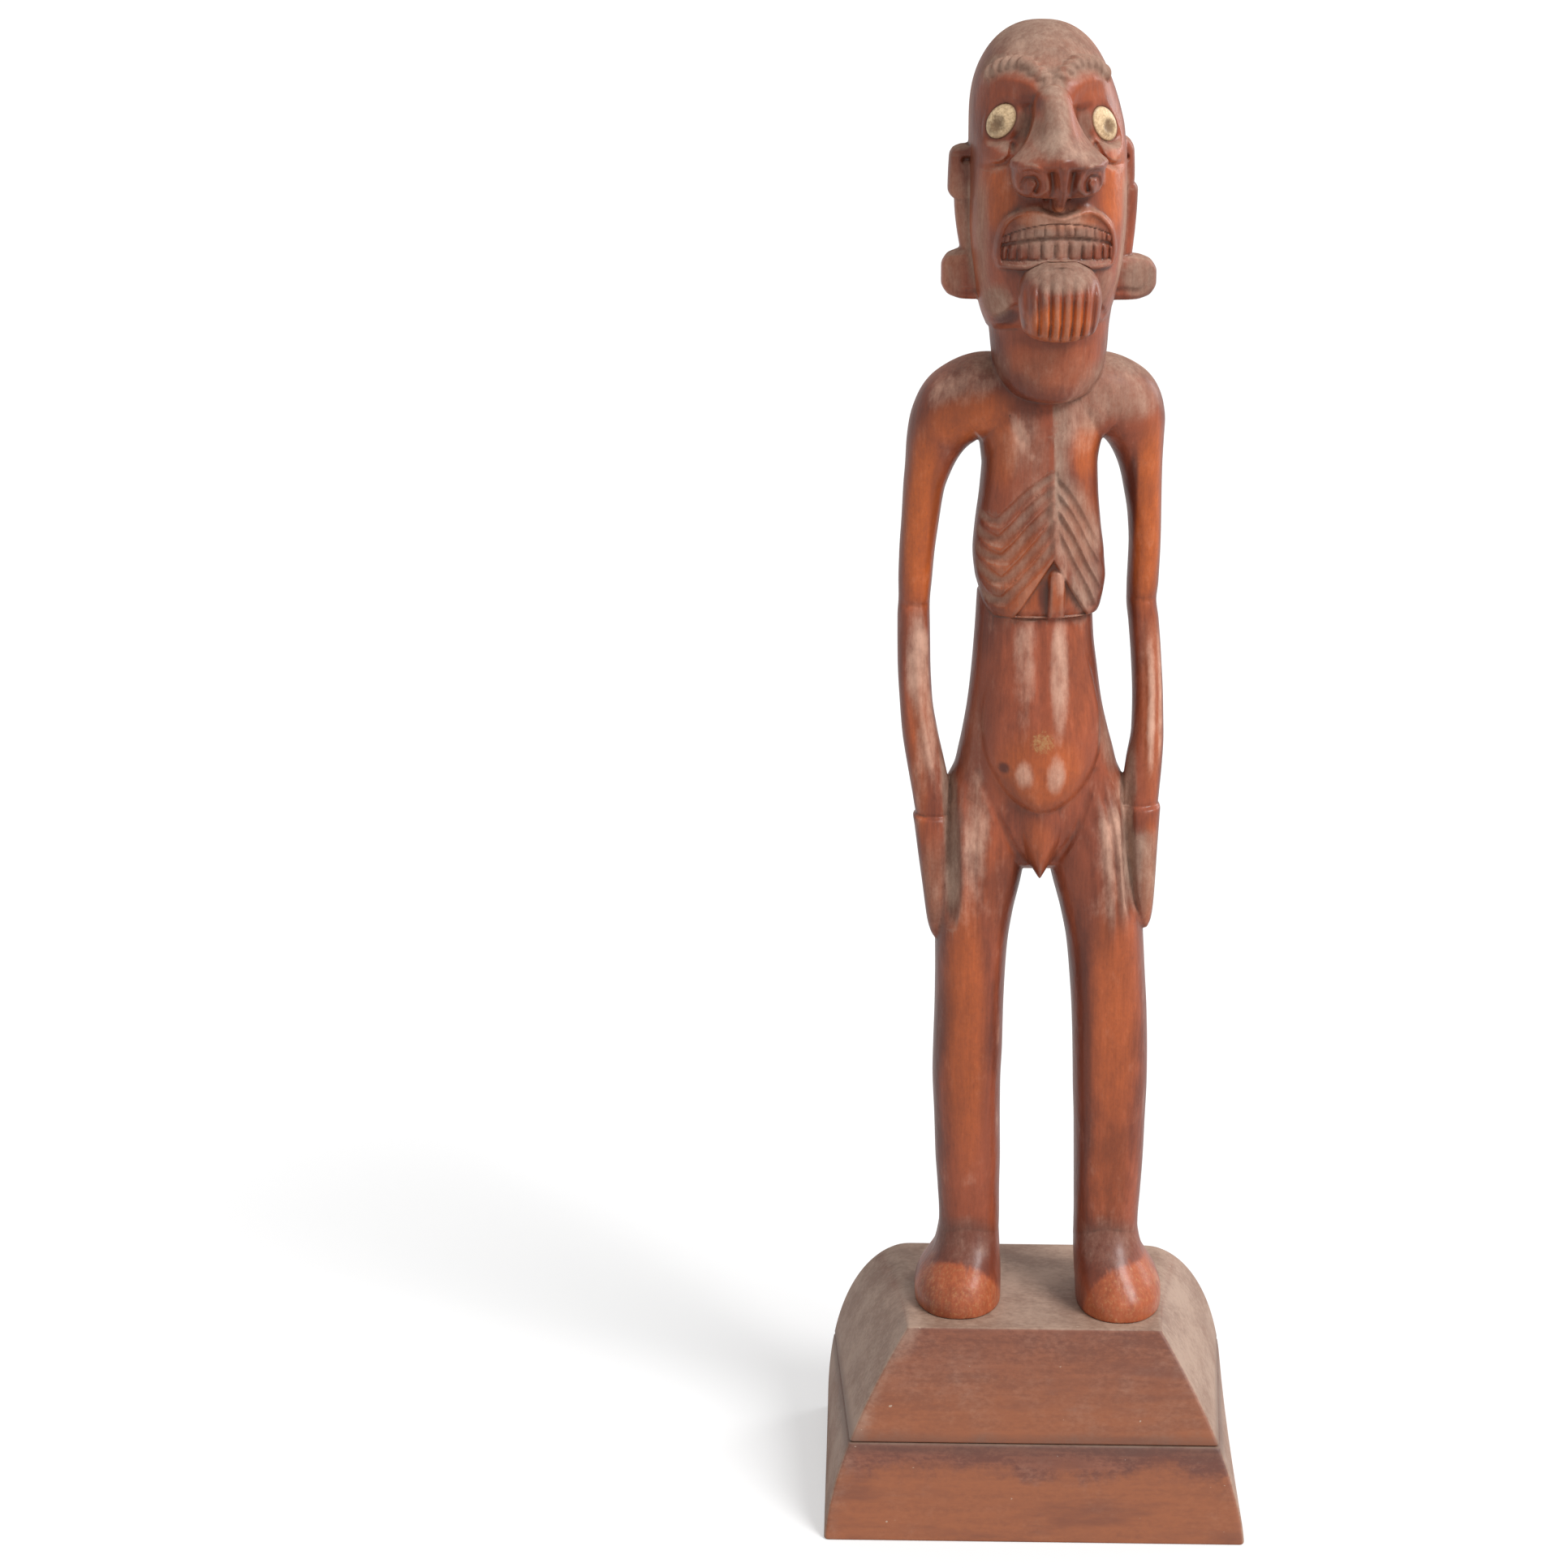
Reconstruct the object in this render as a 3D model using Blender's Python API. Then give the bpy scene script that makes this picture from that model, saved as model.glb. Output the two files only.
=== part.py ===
"""A standing ancestor figure with bared ribs, carved from one piece of red-brown wood.

It has inlaid bone eyes and stands on a plinth of two boards. Metres, +Z up, the front faces -Y,
and the origin is at floor level in the middle of the plinth.
"""

import math

import bpy
import numpy as np
from mathutils import Matrix, Vector

mm = 0.001

# Driving dimensions
figure_height = 500 * mm
plinth_height = 75 * mm
plinth_width = 163 * mm
plinth_depth = 112 * mm
seam_height = 34 * mm
joint_gap = 0.3 * mm
eye_half_width = 5.7 * mm
eye_half_height = 7.4 * mm
eye_thickness = 3.2 * mm

# The carving's stations are in units of a five-hundredth of its height, up from its soles.
unit = figure_height / 500
sole_height = plinth_height + joint_gap
clay_cell = 1.05 * unit
figure_triangles = 8000

# The carver's figure leans a little and its upper body turns to its own left.
foot_shift = 0.7
lean_shift = -4.8
lean_start = 45.0
lean_end = 295.0
body_axis_y = 12.0
turn_angle = math.radians(5.0)
turn_start = 150.0
turn_end = 300.0

# The breastbone and navel sit a little to one side of the trunk's middle.
breast_x = 2.6


# Curves and closed forms


def through(knots, values, at):
    """Values at the given places, on a cubic through the knots that never swings past them."""
    knots = np.asarray(knots, float)
    values = np.asarray(values, float)
    slopes = np.diff(values) / np.diff(knots)
    tangents = np.concatenate([slopes[:1], slopes, slopes[-1:]])
    before = tangents[:-1]
    after = tangents[1:]
    product = before * after
    total = np.where(product > 0, before + after, 1.0)
    tangents = np.where(product > 0, 2 * product / total, 0.0)
    place = np.clip(np.searchsorted(knots, at, side="right") - 1, 0, len(knots) - 2)
    span = knots[place + 1] - knots[place]
    t = np.clip((at - knots[place]) / span, 0, 1)
    start = values[place] * (1 + 2 * t) * (1 - t) ** 2
    end = values[place + 1] * t * t * (3 - 2 * t)
    rise = tangents[place] * t * (1 - t) ** 2 - tangents[place + 1] * t * t * (1 - t)
    return start + end + rise * span


def signed_power(value, power):
    return np.sign(value) * np.abs(value) ** power


def column(stations, front_power=2.0, back_power=2.0, step=1.5, around=72):
    """A closed form from stations of (height, middle, half width, front, back)."""
    rows = np.array(sorted(stations), float)
    count = max(2, int(round((rows[-1, 0] - rows[0, 0]) / step)))
    heights = np.linspace(rows[0, 0], rows[-1, 0], count + 1)
    middle, half, front, back = (through(rows[:, 0], rows[:, k], heights) for k in range(1, 5))
    angles = np.linspace(0, 2 * np.pi, around, endpoint=False)
    power = 2 / np.where(np.sin(angles) < 0, front_power, back_power)
    across = signed_power(np.cos(angles), power)
    along = signed_power(np.sin(angles), power)
    x = middle[:, None] + half[:, None] * across
    y = (front + back)[:, None] / 2 + (back - front)[:, None] / 2 * along
    z = np.repeat(heights[:, None], around, axis=1)
    return skin(np.stack([x, y, z], axis=-1))


def sweep(stations, power=2.2, step=0.9, around=72):
    """A closed form along a path in the front view: (x, height, half thickness, front, back)."""
    rows = np.array(stations, float)
    lengths = np.concatenate([[0], np.cumsum(np.hypot(*np.diff(rows[:, :2], axis=0).T))])
    places = np.linspace(0, lengths[-1], int(lengths[-1] / step) + 1)
    x, z, half, front, back = (through(lengths, rows[:, k], places) for k in range(5))
    run_x = np.gradient(x)
    run_z = np.gradient(z)
    length = np.hypot(run_x, run_z)
    angles = np.linspace(0, 2 * np.pi, around, endpoint=False)
    across = half[:, None] * signed_power(np.cos(angles), 2 / power)
    along = (back - front)[:, None] / 2 * signed_power(np.sin(angles), 2 / power)
    ring_x = x[:, None] + across * (-run_z / length)[:, None]
    ring_y = (front + back)[:, None] / 2 + along
    ring_z = z[:, None] + across * (run_x / length)[:, None]
    return skin(np.stack([ring_x, ring_y, ring_z], axis=-1))


def skin(rings):
    """Points and faces of the closed skin over a stack of rings."""
    levels, around, _ = rings.shape
    faces = []
    for level in range(levels - 1):
        low = level * around
        for k in range(around):
            right = (k + 1) % around
            faces.append((low + k, low + right, low + around + right, low + around + k))
    faces.append(tuple(range(around))[::-1])
    faces.append(tuple(range((levels - 1) * around, levels * around)))
    return rings.reshape(-1, 3), faces


def rope(path, radius, twist_pitch, groove, around=28, step=0.45):
    """A round rope along a path, with slanting grooves worked into it."""
    path = np.array(path, float)
    lengths = np.concatenate([[0], np.cumsum(np.linalg.norm(np.diff(path, axis=0), axis=1))])
    count = int(lengths[-1] / step)
    places = np.linspace(0, lengths[-1], count)
    spine = np.stack([through(lengths, path[:, k], places) for k in range(3)], axis=-1)
    forward = np.gradient(spine, axis=0)
    forward /= np.linalg.norm(forward, axis=1)[:, None]
    outward = spine - np.array([0.0, head_axis_y, brow_height - 18])
    side = np.cross(forward, outward)
    side /= np.linalg.norm(side, axis=1)[:, None]
    up = np.cross(side, forward)
    angles = np.linspace(0, 2 * np.pi, around, endpoint=False)
    phase = 2 * np.pi * places[:, None] / twist_pitch + angles[None, :]
    ends = np.clip(np.minimum(places, lengths[-1] - places) / (1.3 * radius), 0.05, 1) ** 0.5
    size = radius * ends[:, None] * (1 - groove * (0.5 + 0.5 * np.cos(phase)) ** 3)
    offset = size[..., None] * (
        np.cos(angles)[None, :, None] * side[:, None, :] + np.sin(angles)[None, :, None] * up[:, None, :]
    )
    return skin(spine[:, None, :] + offset)


# The forms of the figure, each a short list of stations


def limb(stations):
    """Stations written as (height, left edge, right edge, front, back)."""
    return [(z, (a + b) / 2, abs(b - a) / 2, front, back) for z, a, b, front, back in stations]


head_axis_y = 7.0
head_half = 28.2
head_back = 41.0
brow_height = 481.0
crown_start = 452.0
eye_height = 466.9
crown_power = 2.35
crown_drift = 2.4


def crown_share(height):
    """How much of the head's width is left at a height in its domed crown."""
    rise = np.clip((height - crown_start) / (500 - crown_start), 0, 1)
    return np.maximum(1 - rise**crown_power, 1e-4) ** (1 / crown_power)


def head_stations():
    face = [
        (391, 0, 21.5, -13, 25),
        (395, 0, 23.2, -18, 29),
        (401, 0, 24.7, -21.5, 33),
        (409, 0, 26.2, -24.5, 36.5),
        (419, 0, 27.4, -27, 39),
        (430, 0, 28.1, -27.8, 40.3),
        (441, 0, 28.2, -26.2, head_back),
        (452, 0, head_half, -23.5, head_back),
    ]
    for height in (460, 468, 475, 481, 486, 490, 493.5, 496, 498, 499.3, 500):
        share = float(crown_share(height))
        bulge = 3.0 * math.exp(-(((height - 480) / 9) ** 2))
        middle_x = -crown_drift * smooth_step(height, crown_start + 3, crown_start + 33)
        middle_y = head_axis_y + 1.5
        front = middle_y - (31.0 + bulge) * share
        face.append((height, middle_x, head_half * share, front, middle_y + 32.5 * share))
    return face


def head_place(share, height):
    """The place on the uncarved head's front at a share of its half width, and a height."""
    rows = np.array(sorted(head_stations()))
    at = np.array([height])
    centre, half, front, back = (float(through(rows[:, 0], rows[:, k], at)[0]) for k in range(1, 5))
    depth = (back - front) / 2 * math.sqrt(1 - share**2)
    return centre + share * half, (front + back) / 2 - depth, height


def head_forms():
    yield column(head_stations(), front_power=2.1, back_power=2.2)
    # The nose, a long beak whose foot carries the nostril curls
    yield column(
        [
            (436.5, 0, 3.0, -31.0, -15),
            (439, 0, 6.5, -34.5, -15),
            (443, 0, 13.0, -38.0, -15),
            (448, 0, 16.0, -41.0, -15),
            (452.5, 0, 17.0, -43.2, -15),
            (455.5, 0, 16.8, -44.6, -15),
            (459, 0, 13.6, -43.2, -15),
            (464, 0, 10.0, -39.2, -15),
            (470, 0, 7.6, -34.8, -15),
            (475, 0, 6.0, -30.8, -14),
            (478, 0, 4.4, -27.6, -12),
            (480.5, 0, 1.8, -23.6, -10),
        ],
        front_power=1.55,
        step=0.8,
    )
    # The knob of beard under the lower lip
    yield column(
        [
            (391.5, 0.6, 6.5, -34.0, -14),
            (393, 0.6, 10.5, -37.5, -14),
            (396, 0.6, 13.8, -40.2, -14),
            (401, 0.6, 15.4, -41.8, -14),
            (407, 0.6, 15.8, -41.8, -14),
            (412, 0.6, 14.6, -40.2, -14),
            (416, 0.6, 12.0, -37.2, -14),
            (419, 0.6, 7.0, -32.5, -14),
        ],
        front_power=2.2,
        step=0.8,
    )
    for sign in (-1, 1):
        yield from ear_forms(sign)
        yield rope(brow_path(sign), radius=3.0, twist_pitch=4.6 * sign, groove=0.34)


def brow_path(sign):
    """The twisted brow, from over the nose up over the eye and down the temple.

    Each place is a share of the head's half width, and a height.
    """
    places = [(0, 480.8), (0.2, 484.6), (0.5, 488.0), (0.74, 486.2), (0.87, 481.2), (0.92, 475.5)]
    return [head_place(sign * share, height) for share, height in places]


def ear_forms(sign):
    """A long ear: an upper block, a narrow strip and a heavy lobe, set on the side of the head."""
    if sign < 0:
        blocks = [
            (436.5, 455.2, 20, 35.4, 4, 17),
            (412, 440.0, 20, 32.8, 5, 16),
            (400.8, 417.4, 18, 37.5, 3, 17),
        ]
    else:
        blocks = [
            (438.0, 458.4, 20, 32.0, 4, 17),
            (408, 442.0, 20, 33.4, 5, 16),
            (399.8, 414.6, 18, 41.0, 3, 17),
        ]
    for low, high, inner, reach, front, back in blocks:
        round_off = 2.2
        stations = [
            (low, sign * inner, sign * (reach - round_off), front + 1.5, back - 1.5),
            (low + round_off, sign * inner, sign * reach, front, back),
            (high - round_off, sign * inner, sign * reach, front, back),
            (high, sign * inner, sign * (reach - round_off), front + 1.5, back - 1.5),
        ]
        yield column(limb(stations), front_power=4, back_power=4, step=0.9)


def trunk_forms():
    # Neck, its foot a rounded V that overhangs the chest
    yield column(
        [
            (365, 1.8, 5.0, -12.0, 14),
            (367, 1.8, 11.0, -13.6, 16),
            (371, 1.8, 16.2, -15.0, 18),
            (376, 1.8, 19.6, -16.2, 22),
            (382, 1.7, 21.2, -17.0, 25),
            (391, 1.5, 22.2, -17.6, 27),
            (400, 0.8, 24.2, -17.5, 30),
        ],
        step=0.9,
    )
    # Chest, closing in under the neck
    yield column(
        [
            (338, 0, 21.4, -5.0, 29.0),
            (346, 0, 22.5, -6.6, 29.4),
            (354, 0, 25.5, -6.9, 29.4),
            (362, 0.4, 27.5, -6.0, 28.8),
            (369, 0.8, 27.0, -3.6, 27.0),
            (375, 1.0, 24.0, -0.4, 24.5),
            (380, 1.0, 18.0, 4.0, 21.0),
        ],
        front_power=2.3,
        step=0.9,
    )
    # Rib cage, cut off in a ledge over the belly
    yield column(
        [
            (283.3, 1.4, 21.4, -8.6, 25.5),
            (290, 1.2, 23.2, -9.3, 27),
            (297, 0.7, 24.5, -9.8, 28),
            (304, 0, 24.5, -9.8, 28.5),
            (316, -0.4, 23.4, -9.2, 29),
            (329, -0.2, 22.0, -8.4, 29.5),
            (341, 0, 21.4, -7.6, 30),
            (352, 0, 22.0, -7.2, 29),
        ],
        front_power=2.3,
        step=0.9,
    )
    # Waist and hips
    yield column(
        [
            (180.5, 0, 22.0, 5, 24),
            (184.5, 0, 29.0, -0.5, 28.5),
            (191, 0, 33.6, -3.6, 32),
            (200, 0, 36.0, -5.2, 35),
            (212, 0.2, 34.5, -5.6, 35.5),
            (221, 0.3, 30.8, -5.4, 34),
            (228, 0.2, 29.2, -5.2, 32),
            (234, 0, 27.8, -5.0, 30.5),
            (247, -0.4, 25.3, -4.6, 28.5),
            (260, -0.6, 23.7, -4.2, 27.5),
            (273, -0.9, 22.4, -3.8, 27),
            (290, -0.9, 21.5, -3.0, 26),
        ],
        front_power=2.2,
    )
    # The belly, a drop with a rounded lower edge
    yield column(
        [
            (207.6, 1.6, 3.0, -8.2, 10),
            (209.5, 1.6, 8.5, -9.0, 10),
            (213, 1.6, 13.5, -9.8, 10),
            (219, 1.6, 17.3, -10.4, 10),
            (230, 1.4, 20.8, -10.9, 10),
            (242, 1.0, 22.0, -10.6, 10),
            (255, 0.6, 20.5, -8.8, 10),
            (268, 0.2, 17.5, -6.2, 10),
            (284, 0, 13.0, -3.6, 10),
        ],
        front_power=2.1,
        step=0.9,
    )
    # The pointed wedge between the thighs
    yield column(
        [
            (180.2, 0.4, 1.4, -7.2, 10),
            (184.5, 0.4, 3.4, -8.8, 10),
            (193, 0.5, 5.0, -9.2, 10),
            (202, 0.6, 7.0, -8.2, 10),
            (211, 0.8, 9.0, -7.0, 10),
        ],
        front_power=1.6,
        step=0.9,
    )


def arm_forms():
    left_arm = [
        (-38.5, 199.5, 6.9, 1.5, 16),
        (-39.4, 208, 7.3, 1.8, 17),
        (-41.6, 221, 7.1, 3.0, 18.5),
        (-43.8, 234, 6.7, 4.8, 20.3),
        (-45.1, 247, 6.2, 6.5, 22.0),
        (-45.6, 262, 6.2, 8.6, 23.6),
        (-45.6, 278, 6.1, 10.2, 24.8),
        (-45.4, 284, 5.9, 10.6, 25.2),
        (-45.1, 293, 6.3, 10.0, 25.3),
        (-44.6, 304, 6.6, 9.0, 25.0),
        (-43.6, 316, 7.0, 7.8, 24.6),
        (-42.4, 329, 7.7, 6.2, 24.8),
        (-41.1, 336, 8.6, 4.6, 25.2),
        (-38.9, 345, 10.6, 2.2, 26.2),
        (-35.5, 353, 13.1, -0.8, 27.4),
        (-29.5, 360, 15.4, -3.4, 28.0),
        (-20.0, 363, 16.4, -4.6, 28.0),
        (-11.0, 364, 16.4, -4.8, 28.0),
    ]
    right_arm = [
        (39.2, 203.5, 7.0, 1.5, 16),
        (39.8, 210, 7.1, 1.9, 17),
        (41.2, 221, 6.9, 3.0, 18.5),
        (42.8, 234, 6.1, 4.8, 20.3),
        (43.0, 247, 5.8, 6.5, 22.0),
        (42.5, 262, 5.7, 8.6, 23.6),
        (41.6, 275, 5.7, 10.0, 24.6),
        (40.7, 283.5, 5.6, 10.6, 25.2),
        (41.0, 291, 5.9, 10.2, 25.3),
        (41.2, 304, 5.9, 9.0, 25.0),
        (40.7, 316, 6.2, 7.8, 24.6),
        (39.4, 329, 7.2, 6.2, 24.8),
        (38.5, 336, 8.0, 4.6, 25.2),
        (36.8, 345, 10.0, 2.2, 26.2),
        (34.3, 353, 12.9, -0.8, 27.4),
        (29.2, 360.5, 15.2, -3.4, 28.0),
        (20.0, 363, 16.2, -4.6, 28.0),
        (11.0, 364, 16.2, -4.8, 28.0),
    ]
    left_hand = [
        (151, -39.2, -37.8, 6, 14),
        (154, -40.9, -35.6, 3.5, 16),
        (160, -42.3, -34.2, 1.2, 17),
        (172, -43.6, -33.2, -0.6, 17),
        (186, -45.2, -32.4, -1.0, 17),
        (198, -46.5, -31.8, 0.0, 17),
        (201.6, -46.9, -31.6, 0.8, 17),
    ]
    right_hand = [
        (156.5, 40.4, 42.6, 6, 14),
        (160, 37.6, 43.9, 3.5, 16),
        (166, 35.6, 44.7, 1.2, 17),
        (178, 34.0, 45.5, -0.6, 17),
        (190, 32.8, 46.2, -1.0, 17),
        (202, 32.2, 47.1, 0.0, 17),
        (205.6, 31.9, 47.3, 0.8, 17),
    ]
    for stations in (left_arm, right_arm):
        yield sweep(stations)
    for stations in (left_hand, right_hand):
        yield column(limb(stations), front_power=2.6, back_power=2.6, step=0.9)


def leg_forms():
    left_leg = [
        (24, -38.0, -14.2, 1.2, 26.5),
        (32, -37.9, -14.1, 0.6, 26.2),
        (46, -38.7, -14.3, -0.8, 26.5),
        (60, -39.7, -14.2, -2.2, 27.3),
        (76, -40.2, -14.4, -3.4, 27.8),
        (92, -40.8, -14.3, -4.4, 27.4),
        (106, -40.5, -13.6, -4.8, 27.0),
        (122, -39.8, -13.1, -4.8, 28.0),
        (135, -39.4, -12.4, -4.8, 29.4),
        (149, -39.2, -11.2, -4.9, 30.8),
        (162, -39.2, -9.0, -5.0, 32.0),
        (176, -38.6, -5.6, -5.2, 33.5),
        (190, -37.4, -3.0, -5.0, 34.6),
        (204, -35.0, -4.0, -3.2, 33.6),
        (218, -29.0, -6.0, 1.5, 29.0),
    ]
    right_leg = [
        (24, 15.4, 40.9, 1.2, 26.5),
        (32, 15.4, 40.7, 0.6, 26.2),
        (46, 15.1, 41.3, -0.8, 26.5),
        (60, 14.8, 41.9, -2.2, 27.3),
        (76, 14.5, 42.3, -3.4, 27.8),
        (92, 14.0, 42.8, -4.4, 27.4),
        (106, 13.8, 42.8, -4.8, 27.0),
        (122, 13.4, 42.5, -4.8, 28.0),
        (135, 12.7, 41.9, -4.8, 29.4),
        (149, 11.6, 41.3, -4.9, 30.8),
        (162, 9.4, 40.8, -5.0, 32.0),
        (176, 6.0, 39.8, -5.2, 33.5),
        (190, 3.0, 38.0, -5.0, 34.6),
        (204, 4.0, 35.4, -3.2, 33.6),
        (218, 6.0, 29.0, 1.5, 29.0),
    ]
    left_foot = [
        (-3, -46.6, -13.6, -14.6, 31.5),
        (1, -47.2, -13.2, -15.2, 32.0),
        (5, -47.4, -13.2, -15.0, 32.2),
        (10, -46.0, -13.2, -12.8, 31.6),
        (15, -42.8, -13.4, -9.2, 30.6),
        (20, -39.6, -13.6, -5.2, 29.2),
        (25.5, -38.3, -13.8, -0.8, 27.4),
    ]
    right_foot = [
        (-3, 17.0, 49.6, -16.6, 31.5),
        (1, 16.6, 50.1, -17.2, 32.0),
        (5, 16.4, 50.2, -17.0, 32.2),
        (10, 16.0, 48.8, -14.6, 31.6),
        (15, 15.7, 45.8, -10.8, 30.6),
        (20, 15.4, 42.4, -6.4, 29.2),
        (25.5, 15.2, 41.1, -1.2, 27.4),
    ]
    for stations in (left_leg, right_leg):
        yield column(limb(stations), front_power=2.5, back_power=2.2)
    for stations in (left_foot, right_foot):
        yield column(limb(stations), front_power=2.2, back_power=2.6, step=0.8)


# Cutting the carving into the blocked-out form


def segment_distance(x, z, path):
    """How far each point is from a path drawn on the front view."""
    nearest = np.full(x.shape, 1e9)
    for (x0, z0), (x1, z1) in zip(path[:-1], path[1:]):
        along_x = x1 - x0
        along_z = z1 - z0
        t = ((x - x0) * along_x + (z - z0) * along_z) / (along_x**2 + along_z**2)
        t = np.clip(t, 0, 1)
        nearest = np.minimum(nearest, np.hypot(x - x0 - t * along_x, z - z0 - t * along_z))
    return nearest


def curve_path(places, count=14):
    """A smooth path through a few places on the front view."""
    places = np.array(places, float)
    lengths = np.concatenate([[0], np.cumsum(np.hypot(*np.diff(places, axis=0).T))])
    at = np.linspace(0, lengths[-1], count)
    return list(zip(through(lengths, places[:, 0], at), through(lengths, places[:, 1], at)))


def stroke(x, z, path, width):
    """1 along a path, falling to 0 at the stroke's edge."""
    return np.clip(1 - (segment_distance(x, z, path) / width) ** 2, 0, 1) ** 1.5


def smooth_step(value, low, high):
    t = np.clip((value - low) / (high - low), 0, 1)
    return t * t * (3 - 2 * t)


def face_cuts(x, y, z):
    """How deep the front of the head is cut, in units, at each point."""
    depth = np.zeros(x.shape)
    side = np.abs(x)
    on_face = smooth_step(z, 386, 391)
    # Eye hollows under the brow
    reach = ((side - 17.0) / 12.5) ** 2 + ((z - 467.0) / 13.5) ** 2
    off_nose = smooth_step(side, 5.5, 9.5)
    depth += 2.8 * smooth_step(1 - reach, 0, 0.55) * off_nose
    # Creases from the nostrils out under the eyes
    depth += 1.1 * stroke(side, z, [(17, 453.5), (22, 451), (28, 450)], 2.0)
    # Nostril curls and the strip of the septum
    curl = [(16.2, 451), (15.8, 444.5), (10.8, 441.2), (7.2, 445), (9.6, 449.3), (12.2, 446.6)]
    depth += 1.3 * stroke(side, z, curve_path(curl, 24), 1.25)
    depth -= 1.6 * stroke(x, z, [(0, 452), (0, 440.5)], 2.8)
    # Mouth: a raised lip round two bared rows of teeth
    middle = 429.6 - 2.6 * (side / 20.5) ** 2
    oval = (side / 20.6) ** 2.6 + (np.abs(z - middle) / 9.3) ** 2.2
    lip = np.exp(-(((oval - 0.9) / 0.2) ** 2))
    inside = smooth_step(0.72 - oval, 0, 0.12)
    depth += -1.5 * lip + 1.5 * inside
    tooth_pitch = 3.7
    tooth = np.abs(np.cos(np.pi * x / tooth_pitch)) ** 0.6
    upper = np.clip(1 - (np.abs(z - middle - 2.7) / 2.6) ** 4, 0, 1)
    lower = np.clip(1 - (np.abs(z - middle + 3.9) / 2.7) ** 4, 0, 1)
    depth -= 1.6 * inside * tooth * (upper + lower)
    # Flutes of the beard
    knob = ((x - 0.6) / 16.4) ** 2 + ((z - 405.0) / 14.6) ** 2
    on_knob = smooth_step(1.08 - knob, 0, 0.3) * smooth_step(-y, 26, 32)
    around = np.arcsin(np.clip((x - 0.6) / 16.4, -1, 1)) / np.pi + 0.5
    flute = (0.5 + 0.5 * np.cos(2 * np.pi * 10 * around)) ** 2
    depth += (0.7 + 1.1 * smooth_step(412 - z, 0, 14)) * flute * on_knob
    # Hollow under the jaw beside the beard
    depth += 2.0 * stroke(side, z, [(17.5, 399), (21.5, 396.5)], 3.6)
    return depth * on_face


def rib_paths():
    """The grooves between the ribs, as chevrons down from the breastbone."""
    for sign, steep in ((-1, 1.0), (1, 1.15)):
        for apex, fall in ((336.5, 15.5), (330.0, 17.5), (323.0, 21.0), (314.5, 22.5)):
            reach = 20.0
            places = [
                (0.8, 0),
                (0.45 * reach, -0.38 * fall * steep),
                (0.8 * reach, -0.8 * fall * steep),
                (reach, -1.0 * fall * steep),
                (reach + 4.0, -0.93 * fall * steep),
            ]
            yield curve_path([(breast_x + sign * across, apex + drop) for across, drop in places])


def trunk_cuts(x, z):
    """How deep the front of the trunk is cut, in units, at each point."""
    depth = np.zeros(x.shape)
    across = np.abs(x - breast_x)
    on_trunk = smooth_step(z, 184, 190) * smooth_step(-z, -366, -362) * smooth_step(-np.abs(x), -30, -26)
    # Breastbone, where two planes of the chest meet
    on_chest = smooth_step(z, 300, 310)
    depth -= 1.3 * np.clip(1 - across / 9, 0, 1) * on_chest
    for path in rib_paths():
        depth += 1.7 * stroke(x, z, path, 2.5)
    # The opening at the foot of the rib cage and the tab that hangs in it
    roof = 306.0 - 1.9 * across
    opening = smooth_step(roof - z, 0, 2.0) * smooth_step(z, 282.4, 283.4)
    tab = smooth_step(3.9 - across, 0, 1.0) * smooth_step(302.5 - z, 0, 1.5)
    depth += 2.0 * opening * (1 - 0.85 * tab)
    # Two long planes down the belly
    on_belly = smooth_step(z, 214, 228) * smooth_step(-z, -283, -279)
    depth += 0.9 * np.exp(-(((x - 1.5) / 2.6) ** 2)) * on_belly
    return depth * on_trunk


def limb_cuts(x, z):
    """Cuts on the fronts of the arms and thighs."""
    side = np.abs(x)
    depth = np.zeros(x.shape)
    # Elbow creases
    elbow = np.where(x < 0, 283.5, 284.5)
    depth += 0.8 * np.exp(-(((z - elbow) / 1.2) ** 2)) * smooth_step(side, 31, 34)
    # Grooves between hands and thighs
    wrist_groove = curve_path([(31.5, 214), (32.0, 196), (32.8, 176), (34.6, 160)])
    depth += 1.8 * stroke(side, z, wrist_groove, 2.4)
    # Long flutes down the thighs
    taper = smooth_step(z, 154, 172) * smooth_step(-z, -222, -196)
    for start, end in (((22.5, 222), (25.4, 152)), ((28.2, 218), (29.6, 158))):
        depth += 0.9 * stroke(side, z, [start, end], 2.6) * taper
    return depth


def carve(points, normals):
    """The points of the blocked-out figure, moved back where the carving is cut."""
    x, y, z = points.T
    facing = np.clip(-1.5 * normals[:, 1] - 0.1, 0, 1)
    depth = np.where(z > 386, face_cuts(x, y, z), 0)
    depth = depth + trunk_cuts(x, z) + limb_cuts(x, z)
    carved = points.copy()
    carved[:, 1] += depth * facing
    return carved


def posed(points):
    """Straight coordinates in units, turned and leaned into the figure's stance, in metres."""
    x, y, z = points.T
    angle = turn_angle * smooth_step(z, turn_start, turn_end)
    shift = foot_shift + lean_shift * smooth_step(z, lean_start, lean_end)
    back = y - body_axis_y
    placed_x = x * np.cos(angle) - back * np.sin(angle) + shift
    placed_y = x * np.sin(angle) + back * np.cos(angle) + body_axis_y
    return np.stack([placed_x, placed_y, z], axis=-1) * unit + [0, 0, sole_height]


# Blender objects


def new_mesh(name, points, faces):
    mesh = bpy.data.meshes.new(name)
    mesh.from_pydata([tuple(point) for point in points], [], faces)
    mesh.validate()
    return mesh


def place(name, mesh, material=None):
    obj = bpy.data.objects.new(name, mesh)
    bpy.context.scene.collection.objects.link(obj)
    if material is not None:
        mesh.materials.append(material)
    return obj


def as_drawn(obj):
    """A new mesh of the object with its modifiers applied."""
    graph = bpy.context.evaluated_depsgraph_get()
    return bpy.data.meshes.new_from_object(obj.evaluated_get(graph))


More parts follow.
